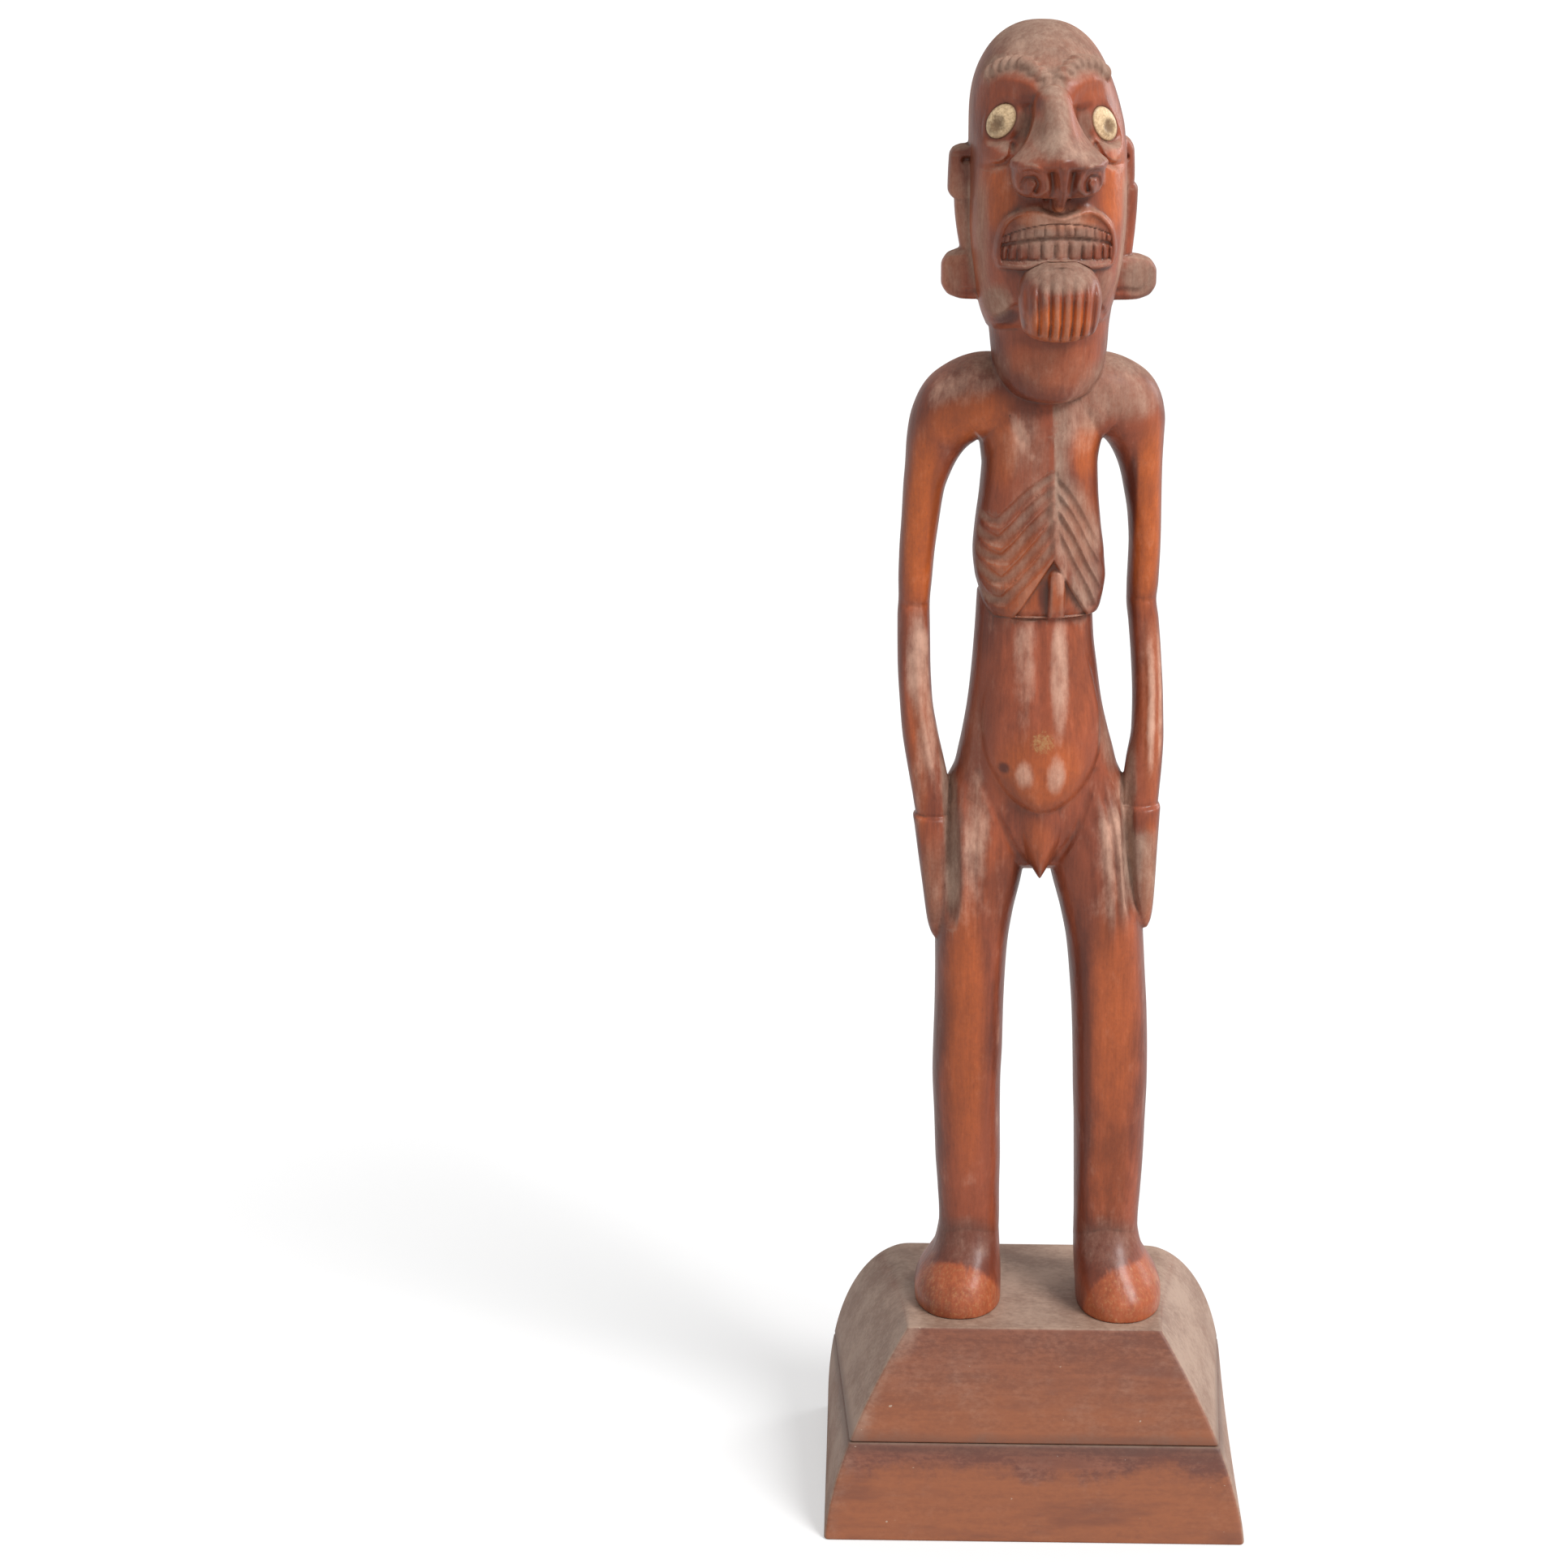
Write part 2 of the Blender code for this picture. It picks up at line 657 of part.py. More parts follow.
def remove(obj):
    mesh = obj.data
    bpy.data.objects.remove(obj)
    bpy.data.meshes.remove(mesh)


def make_material(name, color, roughness, metallic=0.0):
    material = bpy.data.materials.new(name)
    material.use_nodes = True
    shader = material.node_tree.nodes["Principled BSDF"]
    shader.inputs["Base Color"].default_value = (*color, 1)
    shader.inputs["Roughness"].default_value = roughness
    shader.inputs["Metallic"].default_value = metallic
    material.diffuse_color = (*color, 1)
    return material


def blocked_out():
    """All the figure's forms melted into one even skin, in straight units."""
    points = []
    faces = []
    for source in (head_forms, trunk_forms, arm_forms, leg_forms):
        for form_points, form_faces in source():
            faces += [tuple(index + len(points) for index in face) for face in form_faces]
            points += [tuple(point) for point in form_points]
    block = place("block", new_mesh("block", points, faces))
    melt = block.modifiers.new("melt", "REMESH")
    melt.mode = "VOXEL"
    melt.voxel_size = clay_cell / unit
    soften = block.modifiers.new("soften", "SMOOTH")
    soften.factor = 0.5
    soften.iterations = 3
    mesh = as_drawn(block)
    remove(block)
    return mesh


def mesh_arrays(mesh):
    points = np.empty(3 * len(mesh.vertices))
    normals = np.empty(3 * len(mesh.vertices))
    mesh.vertices.foreach_get("co", points)
    mesh.vertex_normals.foreach_get("vector", normals)
    return points.reshape(-1, 3), normals.reshape(-1, 3)


def eye_frame(sign):
    """Where an eye inlay sits: its middle on the face, and its tilted, outward-looking plane."""
    x, y, z = head_place(sign * 0.67, eye_height)
    straight = np.array([[x, y + 2.3, z]])
    middle = Vector(posed(straight)[0])
    outward = math.radians(38) * sign
    raised = math.radians(6)
    tilt = math.radians(-32) * sign
    turn = Matrix.Rotation(turn_angle + outward, 4, "Z") @ Matrix.Rotation(-raised, 4, "X")
    return Matrix.Translation(middle) @ turn @ Matrix.Rotation(tilt, 4, "Y")


def eye_shape(half_width, half_height, front, back, dome):
    """An oval plug lying along Y, its outer face domed."""
    around = 24
    angles = np.linspace(0, 2 * np.pi, around, endpoint=False)
    rows = [(1.0, back), (1.0, front)]
    if dome:
        rows = [(1.0, back), (1.0, front + dome), (0.82, front + 0.35 * dome), (0.45, front)]
    rings = np.array(
        [
            [(half_width * size * math.cos(a), y, half_height * size * math.sin(a)) for a in angles]
            for size, y in rows
        ]
    )
    return skin(rings)


def make_eye(name, sign, material):
    points, faces = eye_shape(eye_half_width, eye_half_height, -1.0 * mm, eye_thickness - 1.0 * mm, 0.9 * mm)
    eye = place(name, new_mesh(name, points, faces), material)
    eye.matrix_world = eye_frame(sign)
    return eye


def make_socket(sign):
    """The cutter of the pocket that an eye inlay sits in."""
    wide = eye_half_width + joint_gap
    high = eye_half_height + joint_gap
    deep = eye_thickness - 1.0 * mm + joint_gap
    points, faces = eye_shape(wide, high, -8 * mm, deep, 0)
    socket = place(f"socket_cutter_{'right' if sign < 0 else 'left'}", new_mesh("socket", points, faces))
    socket.matrix_world = eye_frame(sign)
    socket.hide_render = True
    socket.display_type = "WIRE"
    return socket


def make_floor_cutter():
    """The cutter that leaves flat soles."""
    size = 120 * mm
    points = [(x, y, z) for x in (-size, size) for y in (-size, size) for z in (-size, 0)]
    faces = [(0, 1, 3, 2), (4, 6, 7, 5), (0, 4, 5, 1), (2, 3, 7, 6), (0, 2, 6, 4), (1, 5, 7, 3)]
    cutter = place("sole_cutter", new_mesh("sole_cutter", points, faces))
    cutter.location.z = sole_height
    cutter.hide_render = True
    cutter.display_type = "WIRE"
    return cutter


def make_figure(material):
    mesh = blocked_out()
    points, normals = mesh_arrays(mesh)
    points = posed(carve(points, normals))
    mesh.vertices.foreach_set("co", points.ravel())
    mesh.update()
    mesh.shade_smooth()
    mesh.materials.clear()
    figure = place("figure", mesh, material)
    mesh.calc_loop_triangles()
    thin = figure.modifiers.new("thin", "DECIMATE")
    thin.ratio = figure_triangles / len(mesh.loop_triangles)
    cutters = [make_floor_cutter(), make_socket(-1), make_socket(1)]
    for cutter in cutters:
        cut = figure.modifiers.new(cutter.name, "BOOLEAN")
        cut.operation = "DIFFERENCE"
        cut.object = cutter
    return figure


# The plinth: a slanted front and domed shoulders at the back


def front_half_width(height):
    return plinth_width / 2 * (1 - 0.392 * (height / plinth_height) ** 1.57)


def back_half_width(height):
    top = 0.59 * plinth_width / 2
    return top + (plinth_width / 2 - top) * math.sqrt(max(0.0, 1 - (height / plinth_height) ** 2.45))


def front_edge(height):
    front_setback = 34 * mm
    return -plinth_depth / 2 + front_setback * height / plinth_height


def board_outline(height, inset):
    """The board's plan at a height, drawn in by an inset, with softened corners."""
    corner = 1.6 * mm
    side_parts = 4
    front = front_half_width(height) - inset
    back = back_half_width(height) - inset
    near = front_edge(height) + inset
    far = plinth_depth / 2 - inset
    right_side = [(front, near + corner), (back, far - corner)]
    outline = [(front - corner, near), (front - 0.29 * corner, near + 0.29 * corner)]
    for k in range(side_parts + 1):
        share = k / side_parts
        (x0, y0), (x1, y1) = right_side
        outline.append((x0 + (x1 - x0) * share, y0 + (y1 - y0) * share))
    outline += [(back - 0.29 * corner, far - 0.29 * corner), (back - corner, far)]
    middle = [(front / 3, near)]
    left_side = [(-x, y) for x, y in reversed(outline)]
    return [(-x, y) for x, y in middle] + middle + outline + left_side


def make_board(name, low, high, material):
    """One board of the plinth, between two heights, with its edges worn round."""
    levels = 9
    worn = 0.9 * mm
    rows = [(low, worn), (low + 0.3 * worn, 0.3 * worn)]
    for level in range(levels + 1):
        share = math.sin(math.pi / 2 * level / levels)
        rows.append((low + worn + (high - low - 2 * worn) * share, 0.0))
    rows += [(high - 0.3 * worn, 0.3 * worn), (high, worn)]
    rings = [[(x, y, height) for x, y in board_outline(height, inset)] for height, inset in rows]
    points, faces = skin(np.array(rings))
    return place(name, new_mesh(name, points, faces), material)


def main():
    for obj in list(bpy.data.objects):
        bpy.data.objects.remove(obj)
    figure_wood = make_material("figure_wood", (0.36, 0.12, 0.06), 0.38)
    plinth_wood = make_material("plinth_wood", (0.29, 0.12, 0.075), 0.5)
    slab_wood = make_material("plinth_slab_wood", (0.27, 0.11, 0.07), 0.5)
    bone = make_material("eye_bone", (0.72, 0.6, 0.36), 0.45)
    make_board("plinth_slab", 0, seam_height, slab_wood)
    make_board("plinth_block", seam_height + joint_gap, plinth_height, plinth_wood)
    make_figure(figure_wood)
    make_eye("eye_inlay_right", -1, bone)
    make_eye("eye_inlay_left", 1, bone)


main()
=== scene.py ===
import math

import bpy
import numpy as np
from mathutils import Matrix, Vector


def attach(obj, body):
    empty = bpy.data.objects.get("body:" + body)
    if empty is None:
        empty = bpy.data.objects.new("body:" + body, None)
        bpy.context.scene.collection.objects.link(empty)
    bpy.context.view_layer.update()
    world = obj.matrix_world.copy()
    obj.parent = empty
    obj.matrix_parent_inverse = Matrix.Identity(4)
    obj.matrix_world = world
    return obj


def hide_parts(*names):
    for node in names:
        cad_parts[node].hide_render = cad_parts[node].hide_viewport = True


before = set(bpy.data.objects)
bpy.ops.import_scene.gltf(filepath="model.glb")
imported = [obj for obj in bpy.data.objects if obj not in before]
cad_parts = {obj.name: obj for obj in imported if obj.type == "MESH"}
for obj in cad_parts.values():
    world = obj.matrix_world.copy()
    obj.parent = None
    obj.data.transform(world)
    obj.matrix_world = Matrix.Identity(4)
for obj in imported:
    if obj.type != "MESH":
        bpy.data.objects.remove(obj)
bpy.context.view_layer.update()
print("frame loaded")

mm = 0.001

# The stance: stations are millimetres above the soles, on a figure that stands straight.
stance = {
    "soles": 75.3,  # height of the soles over the floor
    "footShift": 0.7,  # how far the feet stand to the figure's left
    "lean": -4.8,  # how far the head leans over
    "leanFrom": 45.0,
    "leanTo": 295.0,
    "turnAxis": 12.0,  # how far behind the middle the axis of the turn stands
    "turn": math.radians(5.0),  # the upper body's turn
    "turnFrom": 150.0,
    "turnTo": 300.0,
}

# How finely the wood is cut
clay = {
    "cell": 0.52,  # size of the modelling clay's cells, mm
    "softenSteps": 3,
    "triangles": 190000,
    "softRounds": 12,  # rounds of smoothing on the belly and at the places under "rounded"
    "hollowRounds": 14,  # rounds that tell grooves from edges
    "rounded": [(-25.5, 341), (24.5, 341), (9.5, 439), (-10, 439)],  # armpits and the lip's top
}


# Curves and closed forms


def smoothStep(value, low, high):
    t = np.clip((value - low) / (high - low), 0, 1)
    return t * t * (3 - 2 * t)


def through(knots, values, at):  # a cubic through the knots that never swings past them
    knots = np.asarray(knots, float)
    values = np.asarray(values, float)
    slopes = np.diff(values) / np.diff(knots)
    tangents = np.concatenate([slopes[:1], slopes, slopes[-1:]])
    before = tangents[:-1]
    after = tangents[1:]
    product = before * after
    total = np.where(product > 0, before + after, 1.0)
    tangents = np.where(product > 0, 2 * product / total, 0.0)
    place = np.clip(np.searchsorted(knots, at, side="right") - 1, 0, len(knots) - 2)
    span = knots[place + 1] - knots[place]
    t = np.clip((at - knots[place]) / span, 0, 1)
    start = values[place] * (1 + 2 * t) * (1 - t) ** 2
    end = values[place + 1] * t * t * (3 - 2 * t)
    rise = tangents[place] * t * (1 - t) ** 2 - tangents[place + 1] * t * t * (1 - t)
    return start + end + rise * span


def signedPower(value, power):
    return np.sign(value) * np.abs(value) ** power


def skin(rings):  # points and faces of the closed skin over a stack of rings
    levels, around, _ = rings.shape
    faces = []
    for level in range(levels - 1):
        low = level * around
        for k in range(around):
            right = (k + 1) % around
            faces.append((low + k, low + right, low + around + right, low + around + k))
    faces.append(tuple(range(around))[::-1])
    faces.append(tuple(range((levels - 1) * around, levels * around)))
    return rings.reshape(-1, 3), faces


def column(stations, frontPower=2.0, backPower=2.0, step=0.9, around=96):
    # stations are (height, middle, half width, front, back)
    rows = np.array(sorted(stations), float)
    low = rows[0, 0]
    high = rows[-1, 0]
    count = max(2, int(round((high - low) / step)))
    ends = np.linspace(0, 1.4, 9)  # closer rings where an end rounds over
    heights = np.unique(np.concatenate([np.linspace(low, high, count + 1), low + ends, high - ends]))
    middle, half, front, back = (through(rows[:, 0], rows[:, k], heights) for k in range(1, 5))
    angles = np.linspace(0, 2 * np.pi, around, endpoint=False)
    if isinstance(frontPower, list):
        knots = np.array(frontPower, float)
        frontPower = through(knots[:, 0], knots[:, 1], heights)[:, None]
    power = 2 / np.where(np.sin(angles)[None, :] < 0, frontPower, backPower)
    across = signedPower(np.cos(angles)[None, :], power)
    along = signedPower(np.sin(angles)[None, :], power)
    x = middle[:, None] + half[:, None] * across
    y = (front + back)[:, None] / 2 + (back - front)[:, None] / 2 * along
    z = np.repeat(heights[:, None], around, axis=1)
    return skin(np.stack([x, y, z], axis=-1))


def sweep(stations, power=2.2, step=0.8, around=96):
    # a limb along a path in the front view: (x, height, half thickness, front, back)
    rows = np.array(stations, float)
    lengths = np.concatenate([[0], np.cumsum(np.hypot(*np.diff(rows[:, :2], axis=0).T))])
    places = np.linspace(0, lengths[-1], int(lengths[-1] / step) + 1)
    x, z, half, front, back = (through(lengths, rows[:, k], places) for k in range(5))
    runX = np.gradient(x)
    runZ = np.gradient(z)
    length = np.hypot(runX, runZ)
    angles = np.linspace(0, 2 * np.pi, around, endpoint=False)
    across = half[:, None] * signedPower(np.cos(angles), 2 / power)
    along = (back - front)[:, None] / 2 * signedPower(np.sin(angles), 2 / power)
    ringX = x[:, None] + across * (-runZ / length)[:, None]
    ringY = (front + back)[:, None] / 2 + along
    ringZ = z[:, None] + across * (runX / length)[:, None]
    return skin(np.stack([ringX, ringY, ringZ], axis=-1))


def edges(stations):  # stations written as (height, left edge, right edge, front, back)
    return [(z, (a + b) / 2, abs(b - a) / 2, front, back) for z, a, b, front, back in stations]


# The head

head = {
    "axisY": 7.0,
    "half": 28.2,
    "back": 41.0,
    "crown": 500.0,
    "crownStart": 452.0,  # the skull's dome starts here
    "crownPower": 2.35,
    "crownDrift": 2.4,
    "eyeShare": 0.67,  # how far out the eyes are, as a share of the half width
    "eyeHeight": 466.9,
    "brow": [(0.02, 480.6), (0.2, 484.2), (0.46, 487.2), (0.7, 486.2), (0.85, 482.4), (0.92, 478.0)],
    "browRadius": 3.1,
    "browProud": -1.0,
    "browTwist": 3.3,
    "browGroove": 0.36,
}

face = [
    (391, 0, 21.3, -13, 25), (395, 0, 23, -18, 29), (401, 0, 24.7, -21.5, 33),
    (409, 0, 26.2, -24.5, 36.5), (419, 0, 27.4, -27, 39), (430, 0, 28.1, -27.8, 40.3),
    (441, 0, 28.2, -26.2, head["back"]),
    (452, 0, head["half"], -23.5, head["back"]),
]

nose = [
    (442.4, -0.8, 10.5, -32.4, -15), (443.2, -0.8, 13.4, -36.2, -15),
    (445.5, -0.8, 15.4, -38.4, -15), (449, -0.8, 16.4, -39.8, -15), (452.6, -0.8, 16.8, -40.8, -15),
    (454, -0.7, 17.4, -43, -15), (455.4, -0.6, 17.3, -44.8, -15), (457, -0.6, 15.6, -44.9, -15),
    (459.5, -0.8, 13, -43, -15), (464, -1.2, 9.8, -39.2, -15), (470, -1.7, 7.3, -34.8, -15),
    (475, -2.2, 6.3, -31, -14), (478, -2.5, 5.4, -28.2, -12), (480.8, -2.7, 3, -24, -10),
]

septum = [
    (437.4, -0.3, 1.3, -31, -15), (439, -0.3, 2.1, -34, -15), (443, -0.3, 2.4, -38.8, -15),
    (447, -0.4, 2.7, -42, -15), (451, -0.5, 3.3, -43.8, -15), (455, -0.7, 4.2, -45.2, -15),
]

beard = [
    (391.6, 0.9, 7.5, -34, -14), (392.6, 0.9, 10.4, -37, -14), (395, 0.9, 12.9, -39.8, -14),
    (401, 0.9, 14.4, -41.8, -14), (407, 0.9, 15, -41.8, -14), (412, 0.9, 14, -40.2, -14),
    (416, 0.8, 11.6, -37.2, -14), (419.4, 0.7, 6.6, -32.5, -14),
]


def headStations():
    rows = list(face)
    for share in (0.988, 0.96, 0.92, 0.87, 0.8, 0.72, 0.63, 0.53, 0.42, 0.3, 0.17, 0.05):
        rise = (1 - share ** head["crownPower"]) ** (1 / head["crownPower"])
        height = head["crownStart"] + (head["crown"] - head["crownStart"]) * rise
        bulge = 3.0 * math.exp(-(((height - 480) / 9) ** 2))
        drift = -head["crownDrift"] * smoothStep(height, head["crownStart"] + 3, head["crownStart"] + 33)
        middleY = head["axisY"] + 1.5
        front = middleY - (31.0 + bulge) * share
        rows.append((height, drift, head["half"] * share, front, middleY + 32.5 * share))
    return rows


def headPlace(share, height):  # a place on the front of the uncarved head
    rows = np.array(sorted(headStations()))
    at = np.array([height])
    centre, half, front, back = (float(through(rows[:, 0], rows[:, k], at)[0]) for k in range(1, 5))
    depth = (back - front) / 2 * math.sqrt(1 - share**2)
    return centre + share * half, (front + back) / 2 - depth, height


def browRope(sign):  # the twisted brow, from over the nose up over the eye and down the temple
    path = np.array([headPlace(sign * share, height) for share, height in head["brow"]])
    path[:, 1] -= head["browProud"]
    path[-1, 0] -= 2.0 * sign
    lengths = np.concatenate([[0], np.cumsum(np.linalg.norm(np.diff(path, axis=0), axis=1))])
    at = np.linspace(0, lengths[-1], int(lengths[-1] / 0.35))
    spine = np.stack([through(lengths, path[:, k], at) for k in range(3)], axis=-1)
    forward = np.gradient(spine, axis=0)
    forward /= np.linalg.norm(forward, axis=1)[:, None]
    outward = spine - np.array([0.0, head["axisY"], 463.0])
    side = np.cross(forward, outward)
    side /= np.linalg.norm(side, axis=1)[:, None]
    up = np.cross(side, forward)
    angles = np.linspace(0, 2 * np.pi, 48, endpoint=False)
    phase = 2 * np.pi * at[:, None] / (head["browTwist"] * sign) + 2 * angles[None, :]
    radius = head["browRadius"]
    ends = np.clip(np.minimum(at + 1.0, lengths[-1] - at) / (1.6 * radius), 0.05, 1) ** 0.5
    size = radius * ends[:, None] * (1 - head["browGroove"] * (0.5 + 0.5 * np.cos(phase)) ** 2)
    offset = size[..., None] * (
        np.cos(angles)[None, :, None] * side[:, None, :] + np.sin(angles)[None, :, None] * up[:, None, :]
    )
    return skin(spine[:, None, :] + offset)


ears = {
    # upper block, strip and lobe: (bottom, top, inner reach, outer reach below and above,
    # front, back, rounding)
    -1: [
        (436, 455.6, 20, 35.6, 35.2, 4, 17, 3.6), (412, 440, 20, 30, 33.2, 5, 16, 2.4),
        (400.4, 417.8, 18, 37.6, 37.6, 3, 17, 5.6),
    ],
    1: [
        (437.6, 459.2, 20, 32.2, 31.8, 4, 17, 5.4), (408, 442, 20, 31.4, 33.6, 5, 16, 2.4),
        (399.4, 415.2, 18, 41.2, 41.2, 3, 17, 5.8),
    ],
}


def earForms(sign):
    for low, high, inner, reachBelow, reachAbove, front, back, soft in ears[sign]:
        rows = []
        for end, way, reach in ((low, 1, reachBelow), (high, -1, reachAbove)):
            for rise, cut, thin in ((0, 1, 1.6), (0.3, 0.35, 0.6), (1, 0, 0)):
                outer = sign * (reach - cut * soft)
                rows.append((end + way * rise * soft, sign * inner, outer, front + thin, back - thin))
        yield column(edges(rows), frontPower=2.9, backPower=2.9)


def headForms():
    facePowers = [(391, 2.2), (410, 2.5), (450, 2.6), (462, 2.3), (480, 2.1), (500, 2.0)]
    yield column(headStations(), frontPower=facePowers, backPower=2.2)
    yield column(nose, frontPower=[(442, 2.2), (452, 1.9), (457, 1.45), (470, 1.5), (480.8, 2.1)], step=0.6)
    yield column(septum, frontPower=2.2, step=0.6)
    yield column(beard, frontPower=2.2, step=0.6)
    for sign in (-1, 1):
        yield from earForms(sign)
        yield browRope(sign)


# The trunk

trunk = {
    "neck": [
        (364.4, 2, 5, -10, 14), (365.2, 1.8, 10, -12.4, 15), (367.4, 1.5, 14.4, -14.2, 16),
        (370.5, 1.2, 17.2, -15.3, 18), (375, 1.4, 19.8, -16.2, 22), (382, 1.6, 21.2, -17, 25),
        (391, 1.4, 22, -17.6, 27), (400, 0.8, 24, -17.5, 30),
    ],
    "chest": [
        (338, 0, 21.4, -5, 29), (346, 0, 22.5, -6.6, 29.4), (354, 0, 25.5, -6.9, 29.4),
        (362, 0.4, 27.5, -6, 28.8), (369, 0.8, 27, -3.6, 27), (375, 1, 24, -0.4, 24.5),
        (380, 1, 18, 4, 21),
    ],
    "ribCage": [
        (283, 1.4, 21, -8.2, 25.5), (286, 1.3, 22.2, -9.2, 26), (291, 1.2, 23.3, -9.6, 27),
        (297, 0.7, 24.4, -9.9, 28), (304, 0, 24.5, -9.9, 28.5), (316, -0.4, 23.4, -9.3, 29),
        (329, -0.2, 22, -8.4, 29.5), (341, 0, 21.4, -7.6, 30), (352, 0, 22, -7.2, 29),
    ],
    "hips": [
        (180.5, 0, 22, 5, 24), (184.5, 0, 29, -0.5, 28.5), (191, 0, 33.6, -3.6, 32),
        (200, 0, 36, -5.2, 35), (212, 0.2, 34.5, -5.6, 35.5), (221, 0.3, 30.8, -5.6, 34),
        (228, 0.2, 29.2, -5.7, 32), (234, 0, 27.8, -5.8, 30.5), (247, -0.4, 25.3, -5.8, 28.5),
        (260, -0.6, 23.7, -5.4, 27.5), (273, -0.9, 22.4, -4.9, 27), (290, -0.9, 21.5, -4, 26),
    ],
    "belly": [
        (206.6, 1.2, 3, -7.8, 10), (208, 1.2, 7, -9.4, 10), (210.5, 1.2, 11.2, -10.6, 10),
        (215, 1.2, 15.4, -11.8, 10), (222, 1.3, 19.2, -12.4, 10), (231, 1.2, 22, -12.2, 10),
        (242, 1, 22.4, -11, 10), (255, 0.6, 20.5, -9, 10), (268, 0.2, 17.5, -7.2, 10),
        (286, 0, 13, -5.6, 10),
    ],
    "wedge": [
        (180.4, 0.6, 1.2, -6.6, 10), (182.4, 0.7, 2.6, -7.8, 10), (187, 0.8, 5.2, -9, 10),
        (194, 1.2, 8.6, -9.6, 10), (202, 1.4, 11.8, -9, 10), (209, 1.4, 13, -7.6, 10),
    ],
}


trunkPowers = {
    "neck": [(364, 2.1), (382, 1.9), (400, 2.0)],
    "chest": 2.3,
    "ribCage": 2.4,
    "hips": 2.3,
    "belly": [(206, 2.2), (216, 2.0), (235, 1.75), (286, 1.7)],
    "wedge": 1.5,
}


def trunkForms():
    for name, power in trunkPowers.items():
        yield column(trunk[name], frontPower=power)


# The arms and legs

arms = {
    "left": [
        (-38.5, 199.5, 6.9, 1.5, 16), (-39.4, 208, 7.3, 1.8, 17), (-41.6, 221, 7.1, 3, 18.5),
        (-43.8, 234, 6.7, 4.8, 20.3), (-45.1, 247, 6.2, 6.5, 22), (-45.6, 262, 6.2, 8.6, 23.6),
        (-45.6, 278, 6.1, 10.2, 24.8), (-45.4, 284, 5.9, 10.6, 25.2), (-45.1, 293, 6.3, 10, 25.3),
        (-44.6, 304, 6.6, 9, 25), (-43.6, 316, 7, 7.8, 24.6), (-42.4, 329, 7.7, 6.2, 24.8),
        (-41.1, 336, 8.6, 4.6, 25.2), (-38.9, 345, 10.6, 2.2, 26.2), (-35.5, 353, 13.1, -0.8, 27.4),
        (-29.5, 360, 15.4, -3.4, 28), (-20, 363, 16.4, -4.6, 28), (-9, 363, 15.4, -4.2, 27),
        (3, 361, 11, 0, 24),
    ],
    "right": [
        (39.2, 203.5, 7, 1.5, 16), (39.8, 210, 7.1, 1.9, 17), (41.2, 221, 6.9, 3, 18.5),
        (42.8, 234, 6.1, 4.8, 20.3), (43, 247, 5.8, 6.5, 22), (42.5, 262, 5.7, 8.6, 23.6),
        (41.6, 275, 5.7, 10, 24.6), (40.7, 283.5, 5.6, 10.6, 25.2), (41, 291, 5.9, 10.2, 25.3),
        (41.2, 304, 5.9, 9, 25), (40.7, 316, 6.2, 7.8, 24.6), (39.4, 329, 7.2, 6.2, 24.8),
        (38.5, 336, 8, 4.6, 25.2), (36.8, 345, 10, 2.2, 26.2), (34.3, 353, 12.9, -0.8, 27.4),
        (29.2, 360.5, 15.2, -3.4, 28), (20, 363, 16.2, -4.6, 28), (9, 363, 15.2, -4.2, 27),
        (-3, 361, 11, 0, 24),
    ],
    "leftHand": [
        (151, -39.2, -37.8, 6, 14), (154, -40.9, -35.6, 3.5, 16), (160, -42.3, -34.2, 1.2, 17),
        (172, -43.6, -33.2, -0.6, 17), (186, -45.2, -32.4, -1, 17), (198, -46.5, -31.8, 0, 17),
        (201.2, -46.9, -31.6, 0.6, 17), (201.8, -46.4, -31.8, 1.2, 17),
    ],
    "rightHand": [
        (156.5, 40.4, 42.6, 6, 14), (160, 37.6, 43.9, 3.5, 16), (166, 35.6, 44.7, 1.2, 17),
        (178, 34, 45.5, -0.6, 17), (190, 32.8, 46.2, -1, 17), (202, 32.2, 47.1, 0, 17),
        (205.2, 31.9, 47.3, 0.6, 17), (205.8, 32.1, 46.8, 1.2, 17),
    ],
}

